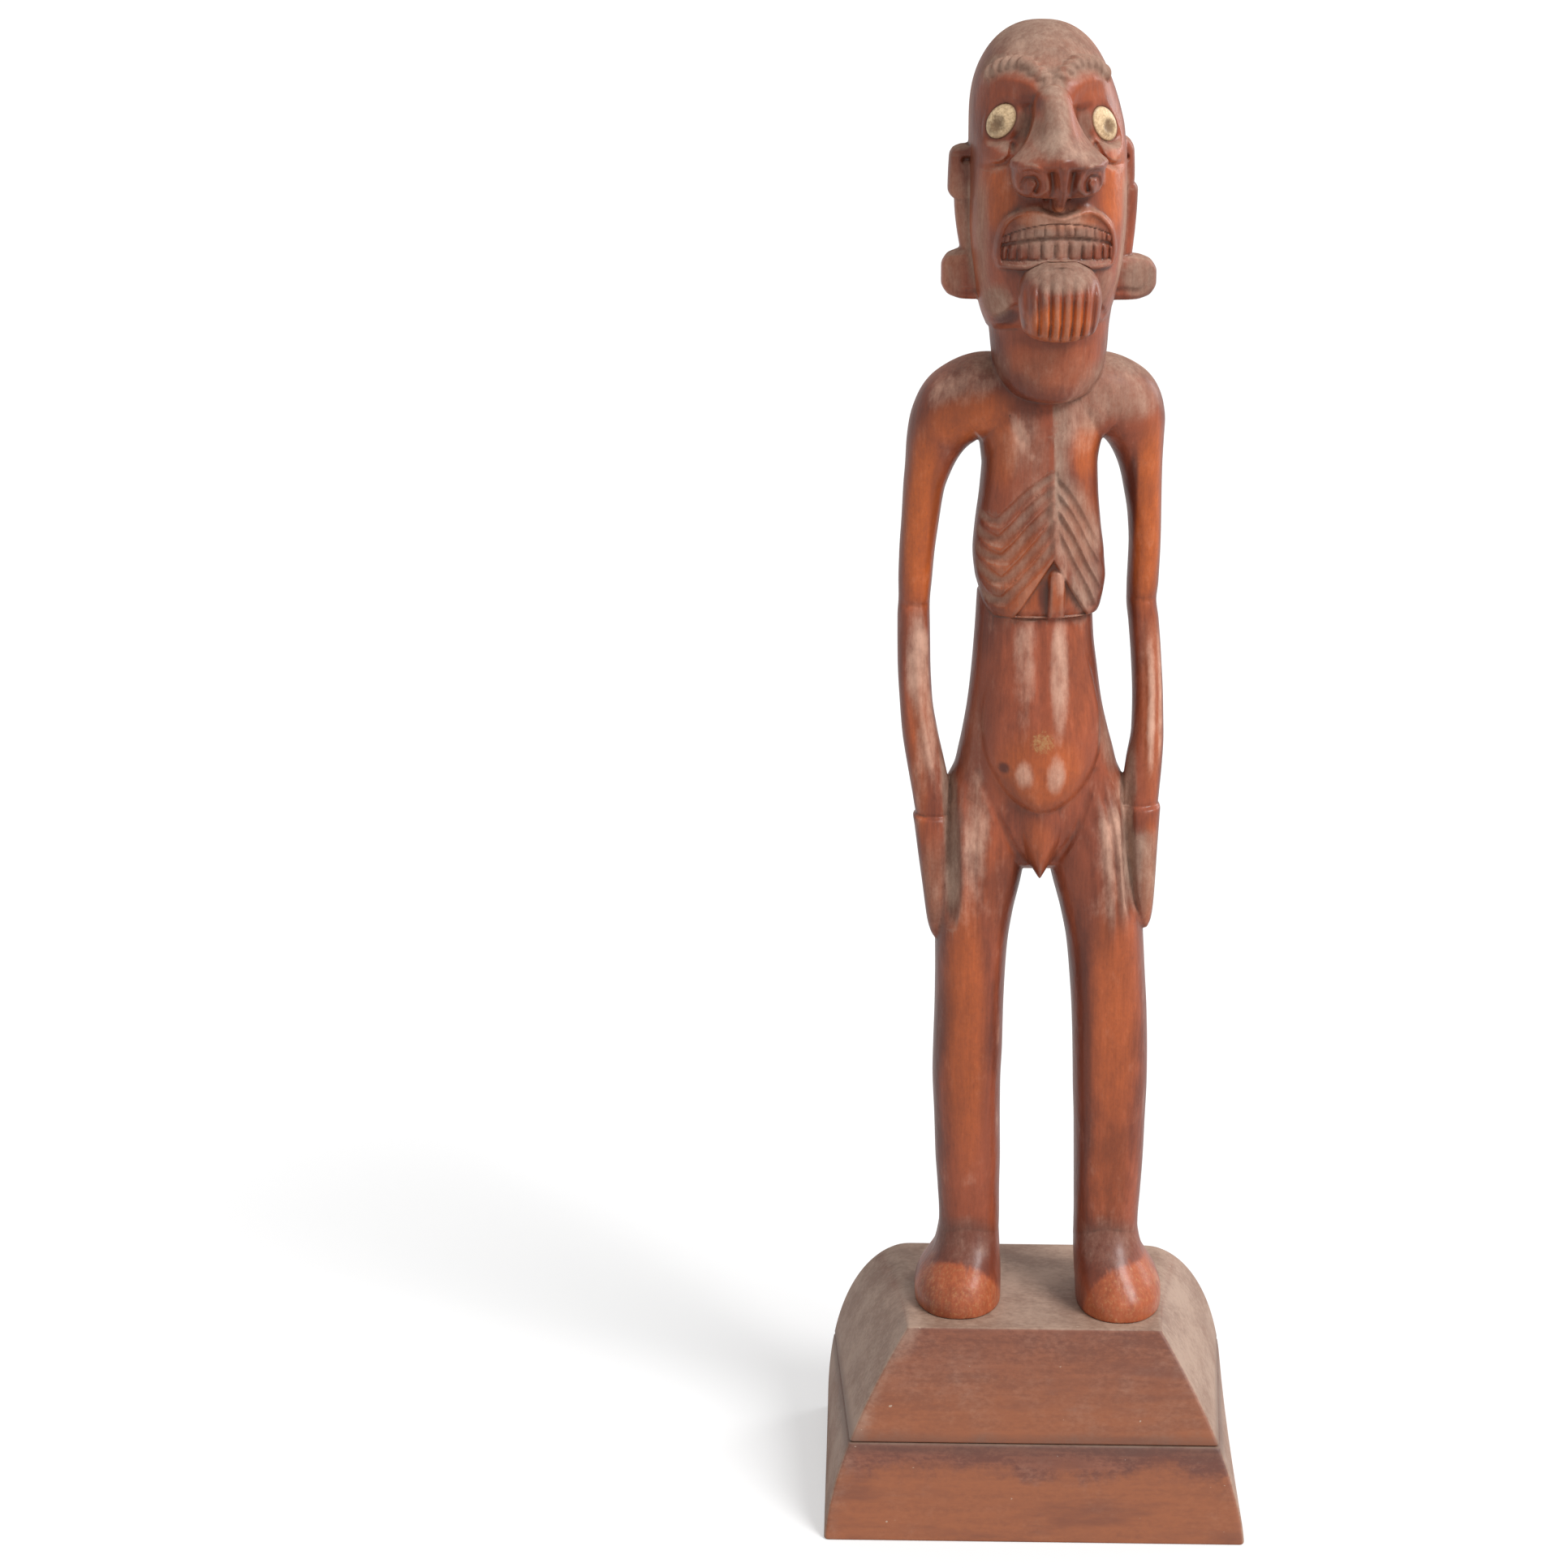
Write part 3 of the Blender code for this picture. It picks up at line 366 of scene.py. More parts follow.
legs = {
    # (height, left leg's outer and inner edge, right leg's inner and outer edge, front, back)
    "both": [
        (24, -38, -14.2, 15.4, 40.9, 1.2, 26.5), (32, -37.9, -14.1, 15.4, 40.7, 0.6, 26.2),
        (46, -38.7, -14.3, 15.1, 41.3, -0.8, 26.5), (60, -39.7, -14.2, 14.8, 41.9, -2.2, 27.3),
        (76, -40.2, -14.4, 14.5, 42.3, -3.4, 27.8), (92, -40.8, -14.3, 14, 42.8, -4.4, 27.4),
        (106, -40.5, -13.6, 13.8, 42.8, -4.8, 27), (122, -39.8, -13.1, 13.4, 42.5, -4.8, 28),
        (135, -39.4, -12.4, 12.7, 41.9, -4.8, 29.4), (149, -39.2, -11.2, 11.6, 41.3, -4.9, 30.8),
        (162, -39.2, -9, 9.4, 40.8, -5, 32), (176, -38.6, -5.6, 6, 39.8, -5.2, 33.5),
        (190, -37.4, -3, 3, 38, -5, 34.6), (204, -35, -4, 4, 35.4, -3.2, 33.6),
        (218, -29, -6, 6, 29, 1.5, 29),
    ],
    "leftFoot": [
        (-3, -46.6, -13.6, -14.6, 31.5), (1, -47.2, -13.2, -15.2, 32), (5, -47.4, -13.2, -15, 32.2),
        (10, -46, -13.2, -12.8, 31.6), (15, -42.8, -13.4, -9.2, 30.6),
        (20, -39.8, -13.7, -5.6, 29.2), (25, -38.6, -14, -2, 27.4), (30, -37.8, -14.3, 0.2, 26.6),
        (36, -36.8, -15, 1.8, 25.6),
    ],
    "rightFoot": [
        (-3, 17, 49.6, -16.6, 31.5), (1, 16.6, 50.1, -17.2, 32), (5, 16.4, 50.2, -17, 32.2),
        (10, 16, 48.8, -14.6, 31.6), (15, 15.7, 45.8, -10.8, 30.6), (20, 15.5, 42.8, -6.8, 29.2),
        (25, 15.5, 41.4, -2.6, 27.4), (30, 15.7, 40.6, 0, 26.6), (36, 16.4, 39.8, 1.6, 25.6),
    ],
}


def limbForms():
    yield sweep(arms["left"])
    yield sweep(arms["right"])
    for hand in ("leftHand", "rightHand"):
        yield column(edges(arms[hand]), frontPower=2.6, backPower=2.6)
    for k in (1, 3):
        stations = [(row[0], *row[k:k + 2], *row[5:]) for row in legs["both"]]
        yield column(edges(stations), frontPower=2.5, backPower=2.2)
    for foot in ("leftFoot", "rightFoot"):
        yield column(edges(legs[foot]), frontPower=2.2, backPower=2.6, step=0.7)


# Knife work: grooves, ridges and hollows, drawn on the front view


def distanceTo(x, z, path, reach):  # how far each point is from a path, and how far along it
    path = np.array(path, float)
    low = path.min(axis=0) - reach
    high = path.max(axis=0) + reach
    near = np.flatnonzero((x > low[0]) & (x < high[0]) & (z > low[1]) & (z < high[1]))
    away = np.full(x.shape, 1e3)
    along = np.zeros(x.shape)
    best = np.full(near.shape, 1e3)
    bestAlong = np.zeros(near.shape)
    nx = x[near]
    nz = z[near]
    for k, ((x0, z0), (x1, z1)) in enumerate(zip(path[:-1], path[1:])):
        alongX = x1 - x0
        alongZ = z1 - z0
        t = ((nx - x0) * alongX + (nz - z0) * alongZ) / (alongX**2 + alongZ**2 + 1e-9)
        t = np.clip(t, 0, 1)
        reached = np.hypot(nx - x0 - t * alongX, nz - z0 - t * alongZ)
        closer = reached < best
        best = np.where(closer, reached, best)
        bestAlong = np.where(closer, (k + t) / (len(path) - 1), bestAlong)
    away[near] = best
    along[near] = bestAlong
    return away, along


def curve(places, count=20):  # a smooth path through a few places
    places = np.array(places, float)
    lengths = np.concatenate([[0], np.cumsum(np.hypot(*np.diff(places, axis=0).T))])
    at = np.linspace(0, lengths[-1], count)
    return list(zip(through(lengths, places[:, 0], at), through(lengths, places[:, 1], at)))


def stroke(x, z, places, width, power=1.5, taper=0.0):  # 1 along a path, falling to 0 at its edge
    away, along = distanceTo(x, z, curve(places), width)
    line = np.clip(1 - (away / width) ** 2, 0, 1) ** power
    if taper:
        line = line * smoothStep(np.minimum(along, 1 - along), 0, taper)
    return line


def reachInside(x, z, outline):  # how far inside a closed outline each point lies, under 0 outside
    path = curve(list(outline) + [outline[0]], 90)
    away, _ = distanceTo(x, z, path, 4.0)
    near = np.flatnonzero(away < 900)
    nx = x[near]
    nz = z[near]
    inside = np.zeros(near.shape, bool)
    for (x0, z0), (x1, z1) in zip(path[:-1], path[1:]):
        crosses = (z0 > nz) != (z1 > nz)
        inside ^= crosses & (nx < x0 + (nz - z0) * (x1 - x0) / (z1 - z0 + 1e-12))
    away[near] = np.where(inside, away[near], -away[near])
    return np.where(away > 900, -900, away)


def blob(x, z, centre, radii, tilt=0.0, edge=1.0):  # 1 in the middle of an oval, 0 outside it
    c = math.cos(math.radians(tilt))
    s = math.sin(math.radians(tilt))
    dx = x - centre[0]
    dz = z - centre[1]
    away = ((dx * c + dz * s) / radii[0]) ** 2 + ((dz * c - dx * s) / radii[1]) ** 2
    return smoothStep(1 - away, 0, edge)


# Each groove or ridge: a path on the front view, its half width and its depth (a ridge is negative)
knifeWork = {
    "face": [
        ([(-15.2, 458.7), (-17, 454.6), (-20, 452.2), (-23.6, 451.2), (-30, 450.8)], 1.8, 1.9),
        ([(13.8, 458.7), (16.2, 454.6), (19.2, 452.4), (22, 451.5), (28, 451.4)], 1.8, 1.9),
        # nostril scrolls
        ([(-16.8, 446.6), (-16.6, 451.4), (-12, 454.6), (-7, 452.2), (-6, 447.4), (-8.6, 444)], 1.5, -1.2),
        ([(-14.2, 446.8), (-13.2, 450.2), (-10.4, 450.8), (-8.8, 448.4), (-9.6, 446)], 1.2, 1.5),
        ([(-12, 444.6), (-11.4, 447.4)], 1.3, -0.8),
        ([(15.8, 446.6), (15.6, 451.4), (11.2, 454.6), (6.4, 452.2), (5.4, 447.4), (7.8, 444)], 1.5, -1.2),
        ([(13.4, 446.8), (12.4, 450.2), (9.8, 450.8), (8.2, 448.4), (8.8, 446)], 1.2, 1.5),
        ([(11.2, 444.6), (10.6, 447.4)], 1.3, -0.8),
        # between the scrolls and the septum
        ([(-4.4, 452.6), (-3.8, 447), (-4.4, 442)], 1.3, 1.3),
        ([(3.4, 452.6), (2.8, 447), (3.2, 442)], 1.3, 1.3),
        # the jaw's lobes and the notches beside the beard
        ([(-20, 395.6), (-16.4, 398.4), (-13.6, 401.6)], 2.2, 1.8),
        ([(19, 397.6), (17.4, 399.6), (16, 401.6)], 2, 1.5),
        # along the lower edge of the ear lobes
        ([(26.6, 403.4), (33.4, 402.8), (37.4, 405.4), (38.6, 410)], 1.6, 0.7),
        ([(-25.6, 403.8), (-31, 403.6), (-34.4, 406.4), (-35.2, 411.6)], 1.6, 0.7),
    ],
    "ribs": [
        ([(2.6, 337), (-6.2, 330.1), (-12.6, 323.3), (-17.5, 319), (-22.5, 320.7), (-27, 325)], 2.4, 1.5),
        (
            [(2.8, 331.6), (-6, 323.4), (-12.5, 315.7), (-16.5, 312.2), (-22.3, 313.9), (-27, 318.4)],
            2.7,
            1.9,
        ),
        ([(3.2, 325.6), (-4.3, 317.4), (-10.7, 309.7), (-15.6, 305.4), (-22.2, 307), (-27, 311.6)], 2.8, 2),
        ([(3.6, 319), (-3.3, 309.7), (-9.7, 302), (-15.4, 296.8), (-20.4, 299.3), (-26.6, 304)], 2.8, 2),
        ([(4, 312.6), (-3.1, 302.9), (-10.4, 294.2), (-15.3, 289), (-20.3, 289.9), (-25.6, 295)], 2.6, 1.8),
        ([(2.6, 336), (8.2, 329.4), (12.9, 321.6), (17.6, 312.6), (24, 303)], 2.1, 1.3),
        ([(2.9, 330.4), (10.9, 319.6), (16.3, 308.9), (20.4, 301.2), (25.6, 292)], 2.2, 1.6),
        ([(3.4, 323.6), (9.6, 313.3), (15.1, 302), (20.2, 293.5), (24.4, 286)], 2.2, 1.6),
        ([(3.9, 316.6), (9.2, 306.1), (14.4, 296), (18.6, 286.4)], 2.1, 1.4),
    ],
    "belly": [
        ([(-0.6, 281), (-0.2, 262), (0.4, 240)], 2.4, 0.9),
        ([(0.6, 222), (1, 215), (1.2, 210)], 1.6, 0.6),
        ([(10.9, 282), (11.2, 272), (11.2, 256)], 1.3, 0.5),
        ([(-6, 281), (-5.4, 262), (-4.2, 244)], 3.4, -0.6),
        ([(6, 281), (6.8, 262), (7.6, 242)], 3.4, -0.6),
    ],
    "hips": [
        ([(-22.4, 221.5), (-14.7, 203.4), (-8.9, 191.3), (-4.6, 184.7)], 2.2, 1),
        ([(21.4, 221.8), (15, 200.6), (10.3, 191.5), (5.6, 184.8)], 2.2, 1),
    ],
    "palms": [
        ([(-33.4, 221), (-33, 206.6), (-32.2, 191.4), (-31.8, 176.1), (-34, 157)], 3, 3),
        ([(34.6, 221), (34.4, 202.2), (34.6, 186.9), (35.6, 171.6), (38, 160)], 3, 3),
    ],
    "limbs": [
        # thigh flutes and ridges
        ([(-26, 228), (-28.6, 214), (-29.2, 192.8), (-28.6, 152)], 2.4, -1),
        ([(-23, 224), (-24.6, 208), (-24.4, 190), (-25.6, 158)], 2.8, 0.6),
        ([(-18, 226), (-17.4, 204), (-18.8, 184.7), (-23, 150)], 2.4, -0.8),
        ([(22, 230), (28.6, 209), (31.8, 190), (33, 172), (33.4, 148)], 2.6, -1.1),
        ([(17, 226), (24, 205), (27.2, 185), (28.2, 166), (28.6, 142)], 2.4, -0.9),
        ([(20, 226), (26.4, 206), (29.6, 186), (30.6, 166), (31, 148)], 1.8, 0.6),
        ([(11, 216), (18.6, 200), (22.4, 182), (24, 152)], 2.6, -0.5),
        # forearm ridges
        ([(-44.6, 280), (-44.2, 252), (-41.4, 230), (-37.4, 206)], 2.2, -0.8),
        ([(-48.6, 280), (-48, 252), (-45, 230), (-41.4, 206)], 1.8, 0.5),
        ([(41.8, 280), (43.4, 250), (42.4, 222), (40.8, 208)], 2.2, -0.9),
        ([(45.2, 280), (47, 250), (46, 222), (44.4, 208)], 1.8, 0.5),
    ],
    "bands": [
        ([(-48.5, 202.6), (-40, 202), (-33, 202)], 1.4, 0.5),
        ([(49.5, 207.2), (41, 206.2), (34, 205.6)], 1.4, 0.5),
        ([(-53, 283.6), (-45, 283.4), (-37, 283.6)], 1.9, 0.7),
        ([(33, 284.6), (41, 284.4), (49, 284.6)], 1.9, 0.6),
    ],
    "back": [
        ([(0.6, 366), (0.4, 330), (0.2, 280), (0.4, 216)], 4.5, 1.1),
        ([(0.4, 218), (0.6, 200), (0.8, 180)], 3.2, 2),
        ([(-17, 360), (-13, 346), (-9, 334)], 4, -0.8),
        ([(17.5, 360), (13.6, 346), (9.8, 334)], 4, -0.8),
    ],
    "collar": [([(-15.2, 361.8), (-11.6, 354.6), (-7.6, 346.8)], 2.4, 0.5)],
}

mouth = {
    "outline": [
        (-21.6, 420.4), (-21, 427), (-18.8, 433.2), (-13, 437.2), (-8, 437.8), (-3.4, 436.4), (0.8, 435.2),
        (5.2, 436.4), (10.8, 437.6), (16.8, 434.4), (20.8, 428), (21.8, 421.4), (20.4, 416.8), (13, 416.6),
        (6, 418.2), (0.6, 418.8), (-5.6, 418.2), (-12, 416.6), (-20, 416.6),
    ],
    "middle": 0.5,
    "halfWidth": 20.8,
    "gap": (427.4, 3.4),  # height between the rows of teeth, and how far it drops at the corners
    "top": (432.8, 5.8),
    "bottom": (419.8, 0.8),
    "upperPitch": 3.7,
    "uneven": 0.4,  # how far the gaps between the teeth stray
    "lowerPitch": 4.9,
    "lipEdge": 1.0,
    "lipSlope": (-1.3, -0.3),
    "hollow": 1.2,
    "toothHeight": 1.6,
}

eyePockets = [
    [(-15, 473.4), (-9.6, 473.2), (-9.3, 468), (-11.4, 462.4), (-14, 459.4), (-16.4, 460.4), (-16, 466.4)],
    [(5.6, 472.6), (11.4, 473), (13.4, 466), (13.6, 460.6), (11.6, 459.4), (9, 462.4), (6.4, 467.6)],
]


def cutStrokes(x, z, names):
    depth = np.zeros(x.shape)
    for name in names:
        taper = {"limbs": 0.4, "palms": 0.15, "collar": 0.3, "back": 0.2}.get(name, 0.0)
        for places, width, deep in knifeWork[name]:
            depth += deep * stroke(x, z, places, width, taper=taper)
    return depth


def cutRibs(x, z):  # flutes that meet along the breastbone without cutting into each other
    depth = np.zeros(x.shape)
    for places, width, deep in knifeWork["ribs"]:
        depth = np.maximum(depth, 1.2 * deep * stroke(x, z, places, width, 1.2))
    return depth * (0.45 + 0.55 * smoothStep(np.abs(x - breastLine(z)), 0, 2.5))


def breastLine(z):  # where the breastbone runs on the front view
    return through([305, 331, 348, 362], [4.3, 2.9, 2.5, 1.8], z)


def cutMouth(x, z):  # a raised lip round two bared rows of teeth
    inside = reachInside(x, z, mouth["outline"])
    across = x - mouth["middle"]
    side = np.clip(np.abs(across) / mouth["halfWidth"], 0, 1.1) ** 2.2
    wrapped = mouth["halfWidth"] * np.arcsin(np.clip(across / mouth["halfWidth"], -1, 1))
    wrapped += mouth["uneven"] * np.sin(1.3 * wrapped + 0.5)
    gap, top, bottom = (high - drop * side for high, drop in (mouth["gap"], mouth["top"], mouth["bottom"]))
    high, low = mouth["lipSlope"]
    edge = np.clip(1 - ((inside - 0.5) / 1.2) ** 2, 0, 1)
    lip = high * smoothStep(inside, -1.0, 0.3) + (low - high) * smoothStep(inside, 0.4, 4.0)
    depth = lip - mouth["lipEdge"] * edge
    bared = smoothStep(top + 0.5 - z, 0, 0.7) * smoothStep(z - bottom + 0.5, 0, 0.7)
    bared *= smoothStep(inside, 1.2, 2.2)
    depth += mouth["hollow"] * bared
    for rowLow, rowHigh, pitch, shift, sharp in (
        (gap + 0.7, top, mouth["upperPitch"], 0.0, 0.4),
        (bottom, gap - 0.5, mouth["lowerPitch"], 0.4, 0.6),
    ):
        row = np.clip(1 - np.abs(2 * (z - rowLow) / (rowHigh - rowLow) - 1) ** 6, 0, 1)
        tooth = np.abs(np.cos(np.pi * (wrapped - shift) / pitch)) ** sharp
        depth -= mouth["toothHeight"] * bared * row * tooth
    return depth


def cutBeard(x, y, z):  # flutes that fan out a little as they run down
    knob = ((x - 0.9) / 16) ** 2 + ((z - 405.2) / 14.6) ** 2
    onKnob = smoothStep(1.2 - knob, 0, 0.15) * smoothStep(-y, 24, 28)
    spreadOut = (x - 0.2) * (1 + 0.006 * (410 - z))
    flute = (0.5 + 0.5 * np.cos(2 * np.pi * spreadOut / 4.05)) ** 2
    return (0.5 + 1.2 * smoothStep(416 - z, 0, 10) + 0.7 * smoothStep(400 - z, 0, 7)) * flute * onKnob


def cutFace(x, y, z):
    depth = np.zeros(x.shape)
    for sign, middle in ((-1, -17.2), (1, 15.2)):
        # a smooth orbit under the brow, and the soft bag of the cheek under the inlay
        orbit = blob(x, z, (middle, 469.0), (14.0, 13.5), edge=0.7)
        depth += 3.0 * orbit * smoothStep(sign * (x + 0.6), 4.5, 8.0) * smoothStep(-z, -483.5, -480)
        depth -= 1.5 * blob(x, z, (sign * 21.5 - 0.8, 457.0), (8.5, 5.0), tilt=12 * sign, edge=0.8)
    for outline in eyePockets:
        depth += 2.0 * smoothStep(reachInside(x, z, outline), -1.6, 2.2)
    depth += cutMouth(x, z) + cutBeard(x, y, z)
    return (depth + cutStrokes(x, z, ["face"])) * smoothStep(z, 386, 391)


def cutTrunk(x, z):
    depth = np.zeros(x.shape)
    across = np.abs(x - breastLine(z))
    # breastbone, where two planes of the chest meet
    depth -= 1.9 * np.clip(1 - across / 10, 0, 1) * smoothStep(z, 300, 310) * smoothStep(-z, -364, -352)
    depth += cutRibs(x, z) * smoothStep(z, 284, 287)
    # the opening at the foot of the rib cage, and the tab that hangs in it
    roof = 306.6 - 1.62 * np.abs(x - 3.4)
    opening = smoothStep(roof - z, 0, 2.4) * smoothStep(z, 281.6, 283.0)
    tabX = x - 5.0
    tab = smoothStep(3.7 - np.abs(tabX), 0, 1.6) * smoothStep(302.4 - 0.25 * tabX**2 - z, 0, 2.4)
    depth += 2.3 * opening * (1 - 0.85 * tab)
    depth += cutStrokes(x, z, ["belly", "hips"])
    # the two soft swellings under the navel
    depth -= 0.5 * blob(x, z, (-5.6, 223.6), (5.0, 7.0)) + 0.5 * blob(x, z, (5.8, 223.8), (5.0, 7.0))
    depth += 0.35 * blob(x, z, (-13.4, 225.3), (1.8, 1.8))
    onTrunk = smoothStep(z, 182, 186) * smoothStep(-z, -367, -362) * smoothStep(-np.abs(x), -30, -27)
    return depth * onTrunk


def carve(points, normals):
    x, y, z = points.T
    facing = np.clip(-1.5 * normals[:, 1] - 0.1, 0, 1)
    depth = np.where(z > 386, cutFace(x, y, z), 0)
    depth = depth + cutTrunk(x, z) + cutStrokes(x, z, ["palms", "limbs", "bands", "collar"])
    behind = np.clip(1.5 * normals[:, 1] - 0.1, 0, 1) * (y > 12)
    carved = points.copy()
    carved[:, 1] += depth * facing - cutStrokes(x, z, ["back"]) * behind
    return carved


def posed(points):  # straight millimetres, turned and leaned into the stance, in metres
    x, y, z = points.T
    angle = stance["turn"] * smoothStep(z, stance["turnFrom"], stance["turnTo"])
    shift = stance["footShift"] + stance["lean"] * smoothStep(z, stance["leanFrom"], stance["leanTo"])
    back = y - stance["turnAxis"]
    placedX = x * np.cos(angle) - back * np.sin(angle) + shift
    placedY = x * np.sin(angle) + back * np.cos(angle) + stance["turnAxis"]
    return np.stack([placedX, placedY, z + stance["soles"]], axis=-1) * mm


# Blender objects


def linked(name, data):
    obj = bpy.data.objects.new(name, data)
    bpy.context.scene.collection.objects.link(obj)
    return obj


def newObject(name, points, faces):
    mesh = bpy.data.meshes.new(name)
    mesh.from_pydata([tuple(point) for point in points], [], faces)
    mesh.validate()
    return linked(name, mesh)


def bakedMesh(obj):  # the object's mesh with its modifiers applied, and the object gone
    graph = bpy.context.evaluated_depsgraph_get()
    mesh = bpy.data.meshes.new_from_object(obj.evaluated_get(graph))
    old = obj.data
    bpy.data.objects.remove(obj)
    bpy.data.meshes.remove(old)
    return mesh


def meshArrays(mesh):
    points = np.empty(3 * len(mesh.vertices))
    normals = np.empty(3 * len(mesh.vertices))
    mesh.vertices.foreach_get("co", points)
    mesh.vertex_normals.foreach_get("vector", normals)
    return points.reshape(-1, 3), normals.reshape(-1, 3)


def setPoints(mesh, points):
    mesh.vertices.foreach_set("co", points.ravel())
    mesh.update()


def addLayer(mesh, name, values):  # a painted layer that a material reads
    layer = mesh.attributes.new(name, "FLOAT", "POINT")
    layer.data.foreach_set("value", np.clip(values, 0, 1).astype(np.float32))


def relaxed(mesh, points, rounds):  # the points drawn towards their neighbours
    ends = np.empty(2 * len(mesh.edges), np.int32)
    mesh.edges.foreach_get("vertices", ends)
    a, b = ends.reshape(-1, 2).T
    count = np.bincount(a, minlength=len(points)) + np.bincount(b, minlength=len(points))
    smooth = points.copy()
    for _ in range(rounds):
        total = np.empty_like(smooth)
        for k in range(3):
            total[:, k] = np.bincount(a, smooth[b, k], len(points))
            total[:, k] += np.bincount(b, smooth[a, k], len(points))
        smooth = 0.5 * smooth + 0.5 * total / count[:, None]
    return smooth


def hollowness(mesh, points, normals):  # over 0 in grooves, under 0 on edges, in millimetres
    return ((relaxed(mesh, points, clay["hollowRounds"]) - points) * normals).sum(axis=1)


# The bone inlays

inlay = {
    "halfWidth": 5.1,
    "halfHeight": 7.0,
    "sunk": 2.3,  # its middle lies this far behind the uncarved face
    "back": 2.2,
    "rim": -0.5,
    "dome": 0.9,
    "woodFloor": 1.0,
    "woodRim": -0.15,
    "out": math.radians(38),
    "up": math.radians(6),
    "tilt": math.radians(-42),
    "drop": {-1: 0.0, 1: 1.2},
}


def eyeSeat(sign):  # the inlay's own axes, and its middle
    x, y, z = headPlace(sign * head["eyeShare"], head["eyeHeight"])
    turn = Matrix.Rotation(inlay["out"] * sign, 3, "Z") @ Matrix.Rotation(-inlay["up"], 3, "X")
    turn = turn @ Matrix.Rotation(inlay["tilt"] * sign, 3, "Y")
    return np.array(turn), np.array([x, y + inlay["sunk"], z - inlay["drop"][sign]])


def seatInlays(points):  # press the wood back behind each inlay, and bring it up to the inlay's rim
    rims = np.zeros(len(points))
    for sign in (-1, 1):
        turn, middle = eyeSeat(sign)
        local = (points - middle) @ turn
        away = np.hypot(local[:, 0] / inlay["halfWidth"], local[:, 2] / inlay["halfHeight"])
        near = (np.abs(local[:, 1]) < 9) & (away < 1.5)
        under = away < 0.97
        share = np.where(under, 1, 1 - smoothStep(away, 1.05, 1.5)) * near
        seat = np.where(under, inlay["woodFloor"], inlay["woodRim"])
        local[:, 1] += (seat - local[:, 1]) * share
        points = local @ turn.T + middle
        rims = np.maximum(rims, near * np.clip(1 - np.abs(away - 1.02) / 0.14, 0, 1))
    return points, rims


def makeInlay(name, sign):
    around = 72
    rim = inlay["rim"]
    profile = [(1.0, inlay["back"]), (1.0, rim + 0.35), (0.985, rim + 0.12), (0.955, rim)]
    for size in (0.9, 0.83, 0.75, 0.66, 0.56, 0.46, 0.36, 0.26, 0.16, 0.05):
        profile.append((size, rim - inlay["dome"] * (1 - (size / 0.955) ** 2) ** 0.7))
    angles = np.linspace(0, 2 * np.pi, around, endpoint=False)
    rings = []
    for size, y in profile:
        x = inlay["halfWidth"] * size * np.cos(angles)
        z = inlay["halfHeight"] * size * np.sin(angles)
        # a worn hollow in the lower middle, with a low rim round it
        hollow = np.hypot(x / 2.4, (z + 1.2) / 2.9)
        dent = 0.75 * np.clip(1 - hollow**2, 0, 1) - 0.25 * np.exp(-(((hollow - 1.25) / 0.3) ** 2))
        rings.append(np.stack([x, y + dent * (y < rim), z], axis=-1))
    points, faces = skin(np.array(rings))
    turn, middle = eyeSeat(sign)
    obj = newObject(name, posed(points @ turn.T + middle), faces)
    wide = points[:, 0] / inlay["halfWidth"]
    high = points[:, 2] / inlay["halfHeight"]
    addLayer(obj.data, "patch", 1.2 - 0.9 * np.hypot((wide + 0.02) / 0.7, (high + 0.24) / 0.56))
    addLayer(obj.data, "rim", smoothStep(np.hypot(wide, high), 0.86, 1.0))
    obj.data.shade_smooth()
    return obj


def blockOut():
    points = []
    faces = []
    for source in (headForms, trunkForms, limbForms):
        for formPoints, formFaces in source():
            faces += [tuple(index + len(points) for index in face) for face in formFaces]
            points += [tuple(point) for point in formPoints]
    block = newObject("block", points, faces)
    melt = block.modifiers.new("melt", "REMESH")
    melt.mode = "VOXEL"
    melt.voxel_size = clay["cell"]
    soften = block.modifiers.new("soften", "SMOOTH")
    soften.factor = 0.5
    soften.iterations = clay["softenSteps"]
    return bakedMesh(block)


def thinned(mesh):
    obj = linked("clay", mesh)
    mesh.calc_loop_triangles()
    thin = obj.modifiers.new("thin", "DECIMATE")
    thin.ratio = min(1, clay["triangles"] / len(mesh.loop_triangles))
    return bakedMesh(obj)


